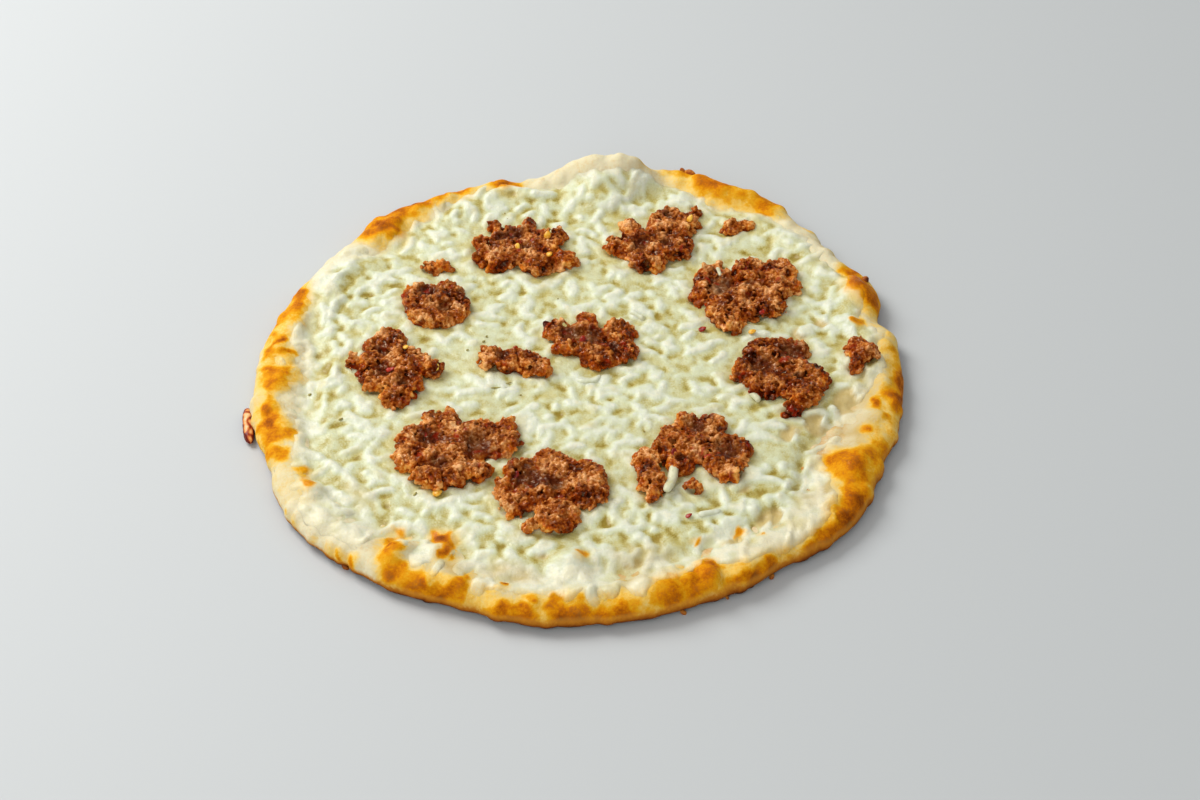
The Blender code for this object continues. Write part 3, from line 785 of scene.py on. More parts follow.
def strand_rise(x, y):
    """Rise of the long strands: a bell of the distance to each one's bent line, the highest
    counting where two cross, less a wider and lower bell that leaves a groove beside it."""
    warp_x, warp_y = bent(x, y, 0, STRAND_BEND)
    ridge, groove = 0, 0
    for half_width, tall, bends in STRANDS:
        away = 99
        for start, end in zip(bends, bends[1:]):
            start_x, start_y = edge_place(*start)
            step_x, step_y = np.subtract(edge_place(*end), (start_x, start_y))
            off_x, off_y = warp_x - start_x, warp_y - start_y
            share = np.clip((off_x * step_x + off_y * step_y) / (step_x**2 + step_y**2), 0, 1)
            away = np.minimum(away, np.hypot(off_x - share * step_x, off_y - share * step_y))
        ridge = np.maximum(ridge, tall * bell(away / half_width))
        groove = np.maximum(groove, tall * bell(away / half_width / GROOVE_WIDTH))
    return (ridge - GROOVE_DEPTH * groove) * (0.8 + 0.6 * waver(x, y, 0, 8, 53))


def cheese_lumps(x, y):
    """Relief of the cheese about its mean: the heap run together, the shreds on top of it, small
    curds between them, and the strands over the rim."""
    under, over = read_map(soft_heap, x, y), read_map(top_heap, x, y)
    lumps = HEAP_SHARE * (1 - 0.5 * melting(x, y)) * under + TOP_SHARE * over
    curds = CURD_HEIGHT * waver(x, y, 0, 3.1, 61) * (1 - 0.4 * melting(x, y))
    return (lumps + curds) * (1 - 0.6 * run_over(x, y)) + strand_rise(x, y)


def body_share(x, y):
    """1 over the bed of cheese, easing to 0 at its wandering edge, where the film begins."""
    inside = cheese_radius(bearing(x, y)) - np.hypot(x, y) + wavy(x, y, 0, BED_WANDER)
    return ease((inside + BED_REACH) / BED_FADE)


def folds(x, y):
    """The film's relief, about -1 to 1: unevenness drawn out towards the middle of the pie, as the
    cheese ran down the rim, and slanted where the rim was turned in."""
    radius = np.hypot(x, y)
    along = 2.1 * bearing(x, y) + 0.6 * (radius - 110) * waver(x, y, 0, 45, 33)
    fold = waver(along, 0.35 * radius, 0, 9, 34) + 0.5 * waver(along, 0.45 * radius, 0, 4, 35)
    return fold * (1 - 0.6 * run_over(x, y))


def film_room(x, y):
    """Distance from a place on the film to the film's torn outer edge."""
    rim = inset_radius(bearing(x, y), FILM_INSETS) - np.hypot(x, y)
    torn = wavy(x, y, 0, FILM_TEARS) + 1.5 * folds(x, y)
    return rim + torn + RUN_REACH * run_over(x, y)


def gap_share(x, y):
    """How bare the dough lies in the bed's gaps, 0 to 1: bells less the shreds that cross them."""
    return ease(2.2 * patches(x, y, GAPS) - 1.2 * np.maximum(cheese_lumps(x, y), 0) - 0.35)


def cheese_top(x, y):
    """Top of the cheese: the level bed and its lumps, sunk under each clump. Past the bed it is
    a film over the crust's blisters, drawn down through them at its edge."""
    body = body_share(x, y)
    skin = dough_height(x, y)
    baked = toasting(x, y, skin)
    film = skin + blistering(x, y, skin, baked) + FILM_DEPTH
    height = film * (1 - body) + wavy(x, y, 0, BED_MOUNDS, level_height(x, y)) * body
    height = height + cheese_lumps(x, y) * (0.5 + 0.25 * body) + 0.6 * folds(x, y) * (1 - body)
    height = height + 0.5 * run_over(x, y) * (1 - body)
    burnt = ease((baked - 0.3) / 0.25) * (1 - ease((film_room(x, y) - 4) / 6)) * (1 - body)
    bare = np.maximum(1 - ease((film_room(x, y) + 1.5) / 8), burnt)
    height = height - 1.1 * bare - GAP_DEPTH * gap_share(x, y) * body
    return height - SEAT_DEPTH * ease(-clump_distance(x, y) / SEAT_SLOPE)


def disc_grid(steps):
    """A square grid bent to a disc of radius 1 with cells of even size: each square ring about
    the middle becomes a circle, and the place along a side becomes the angle."""
    axis = np.linspace(-1, 1, 2 * steps + 1)
    across, up = np.meshgrid(axis, axis)
    wide = np.abs(across) > np.abs(up)
    radius = np.where(wide, across, up)
    turn = np.pi / 4 * np.where(wide, up, across) / np.where(radius == 0, 1, radius)
    x = radius * np.where(wide, np.cos(turn), np.sin(turn))
    y = radius * np.where(wide, np.sin(turn), np.cos(turn))
    return x, y


def cheese_surface(steps):
    """The cheese's points and faces: the lumpy top on a disc of even cells, and below it, within
    the dough, three rings and a fan that close the underside."""
    x, y = disc_grid(steps)
    edge = outline_radius(bearing(x, y)) - SKIN_INSET
    x, y = x * edge, y * edge
    top = np.stack([x, y, cheese_top(x, y)], -1)
    side = 2 * steps + 1
    index = np.arange(side * side).reshape(side, side)
    border = np.concatenate([index[0, :-1], index[:-1, -1], index[-1, :0:-1], index[:0:-1, 0]])
    low_x, low_y = (values.ravel()[border] * UNDER_SHARES for values in (x, y))
    under = np.stack([low_x, low_y, np.minimum(dough_height(low_x, low_y) - 2, 3)], -1)
    middle = under[-1].mean(axis=0, keepdims=True)
    points = np.concatenate([top.reshape(-1, 3), under.reshape(-1, 3), middle])
    loops = np.vstack([border, side * side + np.arange(under[..., 0].size).reshape(3, -1)])
    onward = np.roll(loops, -1, axis=1)
    quads = np.concatenate([
        np.stack([index[:-1, :-1], index[:-1, 1:], index[1:, 1:], index[1:, :-1]], -1).reshape(-1, 4),
        np.stack([loops[:-1], loops[1:], onward[1:], onward[:-1]], -1).reshape(-1, 4),
    ])
    tip = np.full(border.size, len(points) - 1)
    return points, quads, np.stack([loops[-1], tip, onward[-1]], -1)


def cheese_shades(x, y, z, lumps):
    """What the finish reads at each point: how far it stands out on a shred's back, which paints it
    lighter on top and darker in the hollows as painted shade, how thin the film is, how near the
    meat's fat is, how far the oven browned it, and how far the bare dough shows, with the rim's
    darker patches of fat soak and painted shade."""
    baked = tanning(x, y, z)
    # The rim's darker patches, partly fat soak and partly painted shade, fainter on the shreds.
    stain_and_shade = stain_and_shade_share(x, y, baked) * (1 - 0.35 * np.clip(lumps, 0, 1))
    # The relief is painted into the tone: lighter where the cheese stands high and darker in the hollows,
    # as painted shade, and lighter still on the runs, partly whiter cheese and partly a painted
    # highlight.
    return {
        "back": np.clip(0.52 + lumps / 2.0, 0, 0.85) + 0.3 * run_over(x, y),
        "film": (1 - body_share(x, y)) * (1 - 0.75 * ease(film_room(x, y) / 10)),
        "greasy": bell(np.maximum(0, clump_distance(x, y)) / 5), "baked": baked,
        "gap_and_shade": np.maximum(gap_share(x, y), stain_and_shade),
    }


points, quads, triangles = cheese_surface(steps=150)
x, y, z = points.T
# On the film a lift and its folds are painted into the tone: lighter on the ridges and darker between
# them, as painted shade.
lumps = cheese_lumps(x, y) + (0.3 + 0.9 * folds(x, y)) * (1 - body_share(x, y))
cheese = mesh_object("cheese_bed", points, quads, triangles, **cheese_shades(x, y, z, lumps))


def melted_cheese(name, passing):
    """Melted white brine cheese: greenish white on the shreds' backs and olive-yellow between them,
    partly fat gathered there and partly painted shade, moist, golden where it caught. A share of
    the light passes 2 mm in."""
    material, place = new_material(name)
    back, film, near_fat, baked, gap_and_shade = (
        add(material, "Attribute", attribute_name=key, out="Fac")
        for key in ("back", "film", "greasy", "baked", "gap_and_shade")
    )
    cloud, grain, spots, curds = (
        add(material, "TexNoise", {"Vector": place, "Scale": scale, "Detail": detail})
        for scale, detail in ((230, 4), (1400, 2), (120, 2), (560, 2))
    )
    drift = add(material, "Math", (cloud, 0.7, -0.35), operation="MULTIPLY_ADD")
    fleck = add(material, "Math", (grain, 0.36, -0.18), operation="MULTIPLY_ADD")
    mottle = add(material, "Math", (drift, fleck), operation="ADD")
    # The tone follows the painted shade of the relief: olive-yellow in the hollows, partly fat and partly
    # shade, greenish white on top.
    level = add(material, "Math", (mottle, back), operation="ADD")
    cheese_tone_and_shade = add(material, "ValToRGB", {"Fac": level}, stops=[
        (0.0, "#9C842C"), (0.16, "#BAAC62"), (0.34, "#CECA9A"), (0.52, "#D6D8B2"), (0.8, "#DCDEC8"),
        (1.0, "#EAE6CC"),
    ])
    spotted = add(material, "MapRange", {
        "Value": spots, "From Min": 0.54, "From Max": 0.72, "To Max": 0.5,
    })
    oiled_share = add(material, "Math", (near_fat, 0.4, spotted), operation="MULTIPLY_ADD")
    oiled = add(material, "Mix", {"Factor": oiled_share, 6: cheese_tone_and_shade, 7: paint("#C9BC74")}, data_type="RGBA")
    speck = add(material, "Math", (grain, 0.24, -0.12), operation="MULTIPLY_ADD")
    toast = add(material, "Math", (speck, baked), operation="ADD")
    crust = add(material, "ValToRGB", {"Fac": toast}, stops=CRUST_TONES)
    thin_share = add(material, "Math", (film, 0.95), operation="MULTIPLY")
    caught = add(material, "MapRange", {"Value": baked, "From Min": 0.02, "From Max": 0.42})
    crust_share = add(material, "Math", (thin_share, caught), operation="MAXIMUM")
    covered = add(material, "Mix", {"Factor": crust_share, 6: oiled, 7: crust}, data_type="RGBA")
    # Bare dough in the gaps, and the rim's darker patches, partly fat soak and partly painted shade.
    bare_and_shade_share = add(material, "Math", (gap_and_shade, 0.9), operation="MULTIPLY")
    colour = add(material, "Mix", {
        "Factor": bare_and_shade_share, 6: covered, 7: paint("#C6AC6C"),
    }, data_type="RGBA")
    soft = add(material, "Bump", {"Strength": 0.45, "Distance": 0.0008, "Height": curds})
    bump = add(material, "Bump", {"Strength": 0.3, "Distance": 0.0005, "Height": grain, "Normal": soft})
    gloss = add(material, "MapRange", {"Value": cloud, "To Min": 0.26, "To Max": 0.44})
    wet = add(material, "MapRange", {"Value": crust_share, "To Min": 0.35, "To Max": 0.12})
    thick = add(material, "Math", (gap_and_shade, -0.7 * passing, passing), operation="MULTIPLY_ADD")
    return finish_surface(material, {
        "Base Color": colour, "Roughness": gloss, "Normal": bump, "Specular IOR Level": wet,
        "Subsurface Weight": thick, "Subsurface Radius": (1, 1, 0.8), "Subsurface Scale": 0.002,
    })


cheese.data.materials.append(melted_cheese("melted_white_cheese", 0.55))
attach(cheese, "root")
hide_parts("cheese")

# Whole shreds: the ones on top of the heap, which kept their shape. Each is a soft bar, round
# at both ends and a little bent, half sunk in the cheese below it.
FIRM_SHREDS = 3
# How a firm shred differs from the heap's: place, turn, length, width, thickness, lift, bend
FIRM_CHANGE = [1, 1, 1, 1, 0.8, 1.3, 0, 1.2]
SHRED_SINK = 0.55
# Firm shreds keep this far off the meat
MEAT_CLEARANCE = 1.5
# Shreds that fell on the meat or beside it: place, turn, length, width, thickness, lift, bend
STRAY_SHREDS = [
    (34, -61, 1.35, 14, 3.6, 2.6, 3.2, 0.012),
    (66, -15, 2.2, 5, 2.6, 2, 1.8, 0.05), (54, 54, 1.9, 4, 1.5, 1.2, 5.5, 0.05),
]


def shred_bodies(shreds, levels, around):
    """Rings of each shred: an oval section carried along a bent line that follows the cheese. Its
    size is the root of 1 less the eighth power of its place along the line, so its ends are blunt."""
    x, y, turn, length, width, thick, rise, bend = (column[:, None] for column in shreds.T)
    place = np.linspace(-1, 1, levels)[None, :]
    share = np.sign(place) * (1 - (1 - np.abs(place)) ** 1.8)
    along = share * length / 2
    fat = np.sqrt(np.maximum(0.05, 1 - share**8))
    across = bend * along * along
    line_x = x + along * np.cos(turn) - across * np.sin(turn)
    line_y = y + along * np.sin(turn) + across * np.cos(turn)
    line_z = cheese_top(line_x, line_y)
    ring = 2 * np.pi * np.arange(around) / around
    side = (width / 2 * fat)[..., None] * np.cos(ring)
    lift = (thick / 2 * fat)[..., None] * np.sin(ring)
    lumpy = 1 + 0.12 * waver(line_x, line_y, 0, 2.5, 31)[..., None]
    sine, cosine = np.sin(turn)[..., None], np.cos(turn)[..., None]
    return np.stack([
        line_x[..., None] - side * lumpy * sine,
        line_y[..., None] + side * lumpy * cosine,
        line_z[..., None] + rise[..., None] + lift * lumpy - SHRED_SINK,
    ], -1)


x, y, *_, lie, _ = shreds.T
clear = (clump_distance(x, y) > MEAT_CLEARANCE) & (body_share(x, y) > 0.5)
rank = np.argsort(-(1 - melting(x, y) + 0.4 * lie) * clear)[:FIRM_SHREDS]
chosen = np.concatenate([shreds[rank] * FIRM_CHANGE, STRAY_SHREDS])
rings = shred_bodies(chosen, levels=13, around=12)
points, quads, triangles = closed_skin(rings)
x, y, z = points.T
# A shred is painted lighter the higher it stands over the cheese, a painted light on its top.
shades = cheese_shades(x, y, z, 0.6 * (z - cheese_top(x, y)) + 0.1)
whole_shreds = mesh_object("cheese_shreds", points, quads, triangles, **shades)
whole_shreds.data.materials.append(melted_cheese("white_cheese_shreds", 0.2))
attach(whole_shreds, "root")

# Leaked cheese: a strip that ran over the left edge, fried on the oven floor and curled up
# against the side. Its lips are red-brown and hard, its middle amber.
LEAK_ANGLES = (188, 196.5)
LEAK_WIDTH = 4.2
LEAK_HEIGHT = 3.8


def roughened(rings, height, size, seed):
    """A skin pushed out and in along its normal by an unevenness of a height and a size, and kept
    above the table."""
    x, y, z = np.moveaxis(rings, -1, 0)
    rings = push_out(rings, height * waver(x, y, z, size, seed))
    rings[..., 2] = np.maximum(rings[..., 2], 0)
    return rings


def leak_surface(stations, around):
    """An oval section along the foot of the crust, with a groove down its outer face. Its size is
    the root of 1 less the fourth power of its place along the strip."""
    share = np.linspace(-0.995, 0.995, stations)[:, None]
    first, last = LEAK_ANGLES
    angle = (first + last) / 2 + share * (last - first) / 2
    fat = np.sqrt(1 - share**4)
    ring = -2 * np.pi * np.arange(around)[None, :] / around
    groove = 1 - 0.35 * bell((np.sin(ring) - 0.1) / 0.45) * (np.cos(ring) > 0)
    radius = outline_radius(angle) + LEAK_WIDTH / 2 + fat * LEAK_WIDTH / 2 * np.cos(ring) * groove
    height = LEAK_HEIGHT / 2 * (1 + fat * np.sin(ring)) + 0.5 * bell(share) * (np.sin(ring) > 0)
    return np.stack([*on_ray(radius, np.radians(angle)), height], -1)


rings = leak_surface(stations=90, around=40)
x, y, z = np.moveaxis(rings, -1, 0)
rings = roughened(rings, 0.16, 1.6, seed=41)
ring = -2 * np.pi * np.arange(x.shape[1]) / x.shape[1]
bands = 0.5 * bell(waver(x, y, 0, 3.5, 42) / 0.5)
lip = np.clip(0.15 + 0.85 * np.abs(np.cos(ring)) ** 3 + bands + 0.5 * (z < 1), 0, 1)
leak = mesh_object("curled_cheese", *closed_skin(rings), lip=np.append(lip, [1, 1]))


def fried_cheese():
    """Cheese fried hard in its own fat: a glassy skin, amber where thin and red-brown at the
    lips."""
    material, place = new_material("fried_cheese")
    lip = add(material, "Attribute", attribute_name="lip", out="Fac")
    cloud = add(material, "TexNoise", {"Vector": place, "Scale": 500, "Detail": 3})
    depth = add(material, "Math", (cloud, 0.5, lip), operation="MULTIPLY_ADD")
    colour = add(material, "ValToRGB", {"Fac": depth}, stops=[
        (0.35, "#F2CC98"), (0.65, "#E0944C"), (0.9, "#A63C14"), (1.0, "#6A1C0A"),
    ])
    return finish_surface(material, {
        "Base Color": colour, "Roughness": 0.3, "Specular IOR Level": 0.2, "Subsurface Weight": 0.1,
        "Subsurface Scale": 0.001,
    })


leak.data.materials.append(fried_cheese())
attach(leak, "root")
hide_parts("leaked_cheese")

# Sujuk: beef minced through a 3 mm plate with garlic, red pepper and fenugreek, torn into
# clumps and pressed on by hand. Granules stick to each other, crisp and orange at the edges.
SUJUK_HEIGHT = 5.2
# A clump whose granules reach less far than this stands lower, by this share
SMALL_REACH = 12
SMALL_HEIGHT = 0.72
# Hollows where fat pooled, by clump: place from the clump's middle, radius
FAT_HOLLOWS = {
    "back_left": [(-9, 4, 5), (-3, 7, 5), (1, -3, 3.5)],
    "back_right": [(-7, -4, 6), (4, 14, 4), (3, -4, 4)],
    "right_back": [(-8, 1, 8), (3, 3, 4), (-9, 10, 3)],
    "right": [(3, 12, 8), (-8, 3, 7), (5, -3, 3)], "middle": [(-9, 3, 6), (-1, 0, 7), (8, -6, 3)],
    "middle_left": [(-5, 1, 4)], "left_back": [(-4, 6, 6), (3, -4, 4)],
    "left": [(-4, -4, 6), (4, -10, 4), (-5, 8, 4)],
    "front_left": [(8, 1, 9), (-5, -9, 6), (-9, 4, 6)], "front": [(-7, 3, 9), (2, 0, 6)],
    "front_right": [(14, 1, 7), (4, 13, 5), (-1, -4, 3.5)],
}
HOLLOW_DEPTH = 2.6
# Unevenness of a clump's top, as heights, sizes and seeds
DOME_WAVES = [(1.5, 8, 51), (1.2, 4.5, 52)]
# Granules of a clump, from its seat to its top: lattice step, share of the height, least and
# most radius
GRANULE_LAYERS = [
    (2.6, 0.1, 1.5, 2.3), (2.3, 0.6, 1.2, 2.1), (2.1, 0.95, 0.9, 1.8), (1.7, 1.0, 0.5, 1.1),
]
# How far they stray from the lattice, as a share of its step
LATTICE_JITTER = 0.4
# Lift of the lowest granules over the seat
GRANULE_LIFT = 0.6
# Steps of the mesh that joins the granules into one skin, and of its smoothing
VOXEL = 0.3
SMOOTHING = 8
# Clumps whose tone is darker than the rest, by a share of it
CLUMP_TONES = {"right": -0.14, "back_left": -0.05, "left_back": -0.05, "middle": -0.04}


def pooled(x, y, place):
    """How far a place lies in a clump's hollows, 0 to 1: bells, drawn out of round."""
    middle_x, middle_y = SUJUK_CLUMPS[place][:2]
    x, y = x - middle_x + 1.2 * waver(x, y, 0, 5, 58), y - middle_y + 1.2 * waver(x, y, 0, 5, 59)
    spots = [bell(np.hypot(x - a, y - b) / radius) for a, b, radius in FAT_HOLLOWS.get(place, [])]
    return np.clip(1.3 * sum(spots, np.zeros(x.shape)), 0, 1)


def clump_dome(x, y, place, tall):
    """Height of a clump over its seat: steep at its edge, a little lower in the middle, uneven,
    and sunk where the fat pooled."""
    inward = -lobe_distance(x, y, SUJUK_CLUMPS[place])
    height = tall * (0.4 + 0.66 * ease(inward / 2.8) - 0.12 * ease((inward - 4) / 5))
    uneven = wavy(x, y, 0, DOME_WAVES)
    return height + uneven * ease(inward / 3) - HOLLOW_DEPTH * pooled(x, y, place)


def granule_bodies(middles, radii, draw, levels=6, around=8):
    """Rings of each granule: a ball drawn out three ways by a random share and turned at random."""
    count = len(middles)
    rise = np.linspace(-np.pi / 2 + 0.25, np.pi / 2 - 0.25, levels)
    ring = 2 * np.pi * np.arange(around) / around
    ball = np.stack(np.broadcast_arrays(
        np.cos(rise)[:, None] * np.cos(ring), np.cos(rise)[:, None] * np.sin(ring),
        np.sin(rise)[:, None],
    ), -1)
    stretch = draw.uniform([0.7, 0.7, 1.1], [1.1, 1.1, 1.9], (count, 1, 1, 3))
    stretch = stretch * radii[:, None, None, None]
    turned, _ = np.linalg.qr(draw.normal(size=(count, 3, 3)))
    turned *= np.sign(np.linalg.det(turned))[:, None, None]
    return np.einsum("nij,nabj->nabi", turned, ball * stretch) + middles[:, None, None, :]


def clump_granules(place, draw):
    """Places and sizes of a clump's granules: in each layer a jittered lattice over its torn
    outline."""
    clump = SUJUK_CLUMPS[place]
    middle_x, middle_y, lobes = clump
    reach = max(np.hypot(x, y) + radius for x, y, radius in lobes) + 2
    tall = SUJUK_HEIGHT * (SMALL_HEIGHT if reach < SMALL_REACH else 1)
    middles, radii = [], []
    for step, share, least, most in GRANULE_LAYERS:
        axis = np.arange(-reach, reach, step)
        x, y = (values.ravel() for values in np.meshgrid(middle_x + axis, middle_y + axis))
        x = x + draw.normal(0, LATTICE_JITTER * step, x.shape)
        y = y + draw.normal(0, LATTICE_JITTER * step, y.shape)
        size = least + (most - least) * draw.beta(1.2, 1.8, x.shape)
        torn = 1.2 * waver(x, y, 0, 4.5, 53) + draw.normal(0.5, 0.3, x.shape)
        inside = lobe_distance(x, y, clump) < torn - 0.85 * size - 0.4 * share - 0.1
        x, y, size = x[inside], y[inside], size[inside]
        top = clump_dome(x, y, place, tall)
        z = seat_height(x, y, clump) + share * (top - 0.8 * size) + (1 - share) * GRANULE_LIFT
        middles.append(np.stack([x, y, z], -1))
        radii.append(size)
    return np.concatenate(middles), np.concatenate(radii)


def minced_meat():
    """Fried minced beef: red-brown granules, each its own tone, with painted shade that makes the
    crevices almost black and painted light that makes the backs tan, wet with orange fat that
    shines, crisp and orange at the edges."""
    material, place = new_material("fried_minced_beef")
    edge, back, sunk = (
        add(material, "Attribute", attribute_name=key, out="Fac") for key in ("edge", "back", "sunk")
    )
    zones, lumps, droplets = (
        add(material, "TexNoise", {"Vector": place, "Scale": scale, "Detail": detail})
        for scale, detail in ((150, 1), (420, 3), (700, 1))
    )
    grain = add(material, "TexNoise", {"Vector": place, "Scale": 1100, "Detail": 4, "Roughness": 0.6})
    wide = add(material, "Math", (zones, 1.5, -0.75), operation="MULTIPLY_ADD")
    own = add(material, "Math", (lumps, 0.6, wide), operation="MULTIPLY_ADD")
    fine = add(material, "Math", (grain, 1.0, own), operation="MULTIPLY_ADD")
    mottle = add(material, "Math", (fine, 0.68), operation="SUBTRACT")
    # The tone follows the painted shade of the crevices and the painted light on the backs.
    level = add(material, "Math", (back, 0.75, mottle), operation="MULTIPLY_ADD")
    meat = add(material, "ValToRGB", {"Fac": level}, stops=[
        (0.0, "#300A00"), (0.15, "#541802"), (0.32, "#7A3206"), (0.5, "#9A5018"),
        (0.7, "#CA8040"), (0.95, "#F2B87E"),
    ])
    crisp = add(material, "ValToRGB", {"Fac": level}, stops=[
        (0.0, "#3E0E02"), (0.25, "#7E2604"), (0.45, "#AE4608"), (0.7, "#CE7216"), (0.95, "#EAA850"),
    ])
    spread = add(material, "MapRange", {
        "Value": zones.node.outputs["Color"], "From Min": 0.4, "From Max": 0.62,
        "To Min": 0.1, "To Max": 1,
    })
    crisp_more = add(material, "Math", (edge, spread), operation="MULTIPLY", use_clamp=True)
    colour = add(material, "Mix", {"Factor": crisp_more, 6: meat, 7: crisp}, data_type="RGBA")
    greasy_share = add(material, "Math", (sunk, 0.8), operation="MULTIPLY")
    greasy = add(material, "Mix", {
        "Factor": greasy_share, 6: colour, 7: paint("#4E2010"),
    }, data_type="RGBA")
    flecks = add(
        material, "TexNoise", {"Vector": place, "Scale": 260, "Detail": 1, "W": 3},
        noise_dimensions="4D",
    )
    red_share = add(material, "MapRange", {
        "Value": flecks, "From Min": 0.62, "From Max": 0.74, "To Max": 0.8,
    })
    peppered = add(material, "Mix", {
        "Factor": red_share, 6: greasy, 7: paint("#96200A"),
    }, data_type="RGBA")
    gloss = add(material, "MapRange", {"Value": sunk, "To Min": 0.16, "To Max": 0.1})
    bump = add(material, "Bump", {"Strength": 0.8, "Distance": 0.0004, "Height": grain})
    wet = add(material, "MapRange", {
        "Value": droplets, "From Min": 0.53, "From Max": 0.62, "To Min": 0.05, "To Max": 1,
    })
    return finish_surface(material, {
        "Base Color": peppered, "Roughness": gloss, "Normal": bump, "Specular IOR Level": wet,
        "Specular Tint": paint("#FFE0B8"), "Subsurface Weight": 0.06,
        "Subsurface Radius": (1, 0.4, 0.2), "Subsurface Scale": 0.001,
    })


def crevice_depth(mesh, spots, normals, passes):
    """How far each point lies below the mean of its neighbourhood, along its normal: the points
    are averaged with those they share an edge with, a few times over."""
    edges = np.empty(2 * len(mesh.edges), dtype=np.int32)
    mesh.edges.foreach_get("vertices", edges)
    ends = np.concatenate([edges[0::2], edges[1::2]])
    others = np.concatenate([edges[1::2], edges[0::2]])
    count = np.bincount(ends, minlength=len(spots))
    soft = spots
    for _ in range(passes):
        sums = [np.bincount(ends, soft[others, k], minlength=len(spots)) for k in range(3)]
        soft = np.stack(sums, -1) / count[:, None]
    return ((soft - spots) * normals).sum(axis=1)


def remeshed(piece, step):
    """The outer skin of overlapping bodies, by a voxel remesh of a given step in millimetres."""
    remesh = piece.modifiers.new("one skin", "REMESH")
    remesh.mode = "VOXEL"
    remesh.voxel_size = step * MM
    remesh.use_smooth_shade = True
    smooth = piece.modifiers.new("soft", "SMOOTH")
    smooth.factor = 0.5
    smooth.iterations = SMOOTHING
    evaluated = piece.evaluated_get(bpy.context.evaluated_depsgraph_get())
    mesh = bpy.data.meshes.new_from_object(evaluated)
    piece.modifiers.clear()
    rough = piece.data
    piece.data = mesh
    bpy.data.meshes.remove(rough)
    mesh.name = piece.name
    return piece


meat_finish = minced_meat()
for number, (place, clump) in enumerate(SUJUK_CLUMPS.items()):
    draw = np.random.default_rng(100 + number)
    middles, radii = clump_granules(place, draw)
    grains = closed_skin(granule_bodies(middles, radii, draw))
    meat = remeshed(mesh_object(f"meat_{place}", *grains), VOXEL)
    spots, normals = (np.empty((len(meat.data.vertices), 3), dtype=np.float32) for _ in range(2))
    meat.data.vertices.foreach_get("co", spots.ravel())
    meat.data.vertices.foreach_get("normal", normals.ravel())
    spots /= MM
    fat = pooled(spots[:, 0], spots[:, 1], place)
    crumbly = 0.6 * waver(*spots.T, 3.4, 54) + 0.4 * np.abs(waver(*spots.T, 1.8, 55)) - 0.12
    crumbly = (crumbly + 0.35 * waver(*spots.T, 1, 57)) * (1 - 0.75 * fat)
    spots += normals * crumbly[:, None]
    meat.data.vertices.foreach_set("co", (spots * MM).astype(np.float32).ravel())
    # Painted shade and light: the deeper a point lies below its neighbourhood, the darker its tone, and
    # the higher it stands, the lighter; each clump's own tone is added to it.
    depth = crevice_depth(meat.data, spots, normals, passes=16)
    x, y, z = spots.T
    inward = -lobe_distance(x, y, clump)
    back = np.clip(0.49 - depth / 1.9 + CLUMP_TONES.get(place, 0), 0, 1)
    lay_shades(meat.data, {"edge": 1 - ease((inward - 0.5) / 4), "back": back, "sunk": fat})
    meat.data.materials.append(meat_finish)
    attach(meat, "root")
    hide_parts(f"sujuk_{place}")

# Pepper seeds: yellow, flat and teardrop-shaped, 3 mm long, from the crushed pepper in the meat.
# They lie on the clumps or beside them, some half under crumbs.
# Each: place, height over the meat's seat or the cheese, length, width, turn, tilt
SEEDS = [
    (-14, 74, 6.2, 3.6, 2.8, 1.4, 0.5), (-26, 67, 6, 3.4, 2.6, 1.2, 0.4),
    (-13, 62, 5.6, 2.8, 2.4, 0.4, 0.3), (43, 86, 5.8, 3.4, 2.4, 0.9, 0.6),
    (-50, -67.5, 1.2, 3.8, 3.2, 0.3, 0.2), (-50, -63, 3.8, 2.6, 2, 1, 0.5),
    (-54, -3.5, 4.8, 3, 2.4, 1.2, 0.5), (-66, 6, 6, 2.4, 2, 0.2, 0.2),
    (66, 21.5, 1, 3.2, 2.4, 0.2, 0.2),
]
SEED_FLATNESS = 0.45


def flat_grains(grains, flatness, levels=7, around=12):
    """Rings of small flat bodies: balls drawn out along their length, thinned to a flatness,
    narrowed towards one end, then turned and tilted."""
    x, y, lift, length, width, turn, tilt = (column[:, None, None] for column in np.array(grains).T)
    rise = np.linspace(-np.pi / 2 + 0.3, np.pi / 2 - 0.3, levels)[:, None]
    ring = 2 * np.pi * np.arange(around) / around
    along = length / 2 * np.cos(rise) * np.cos(ring)
    across = width / 2 * np.cos(rise) * np.sin(ring) * (1 - 0.3 * np.cos(rise) * np.cos(ring))
    up = width / 2 * flatness * np.sin(rise) + along * np.sin(tilt)
    level = cheese_top(x, y) + lift
    return np.stack([
        x + along * np.cos(turn) * np.cos(tilt) - across * np.sin(turn),
        y + along * np.sin(turn) * np.cos(tilt) + across * np.cos(turn),
        level + up,
    ], -1)


def translucent_pepper(name, deep, pale):
    """Dried pepper or herb soaked in fat: a waxy skin between a deep and a pale tone, through
    which a little light passes."""
    material, place = new_material(name)
    cloud = add(material, "TexNoise", {"Vector": place, "Scale": 700, "Detail": 2})
    colour = add(material, "ValToRGB", {"Fac": cloud}, stops=[(0.35, deep), (0.65, pale)])
    return finish_surface(material, {
        "Base Color": colour, "Roughness": 0.3, "Specular IOR Level": 0.3,
        "Subsurface Weight": 0.15, "Subsurface Scale": 0.0008,
    })


seeds = mesh_object("pepper_seeds", *closed_skin(flat_grains(SEEDS, SEED_FLATNESS)))
seeds.data.materials.append(translucent_pepper("pepper_seed", "#D89010", "#F6C850"))
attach(seeds, "root")

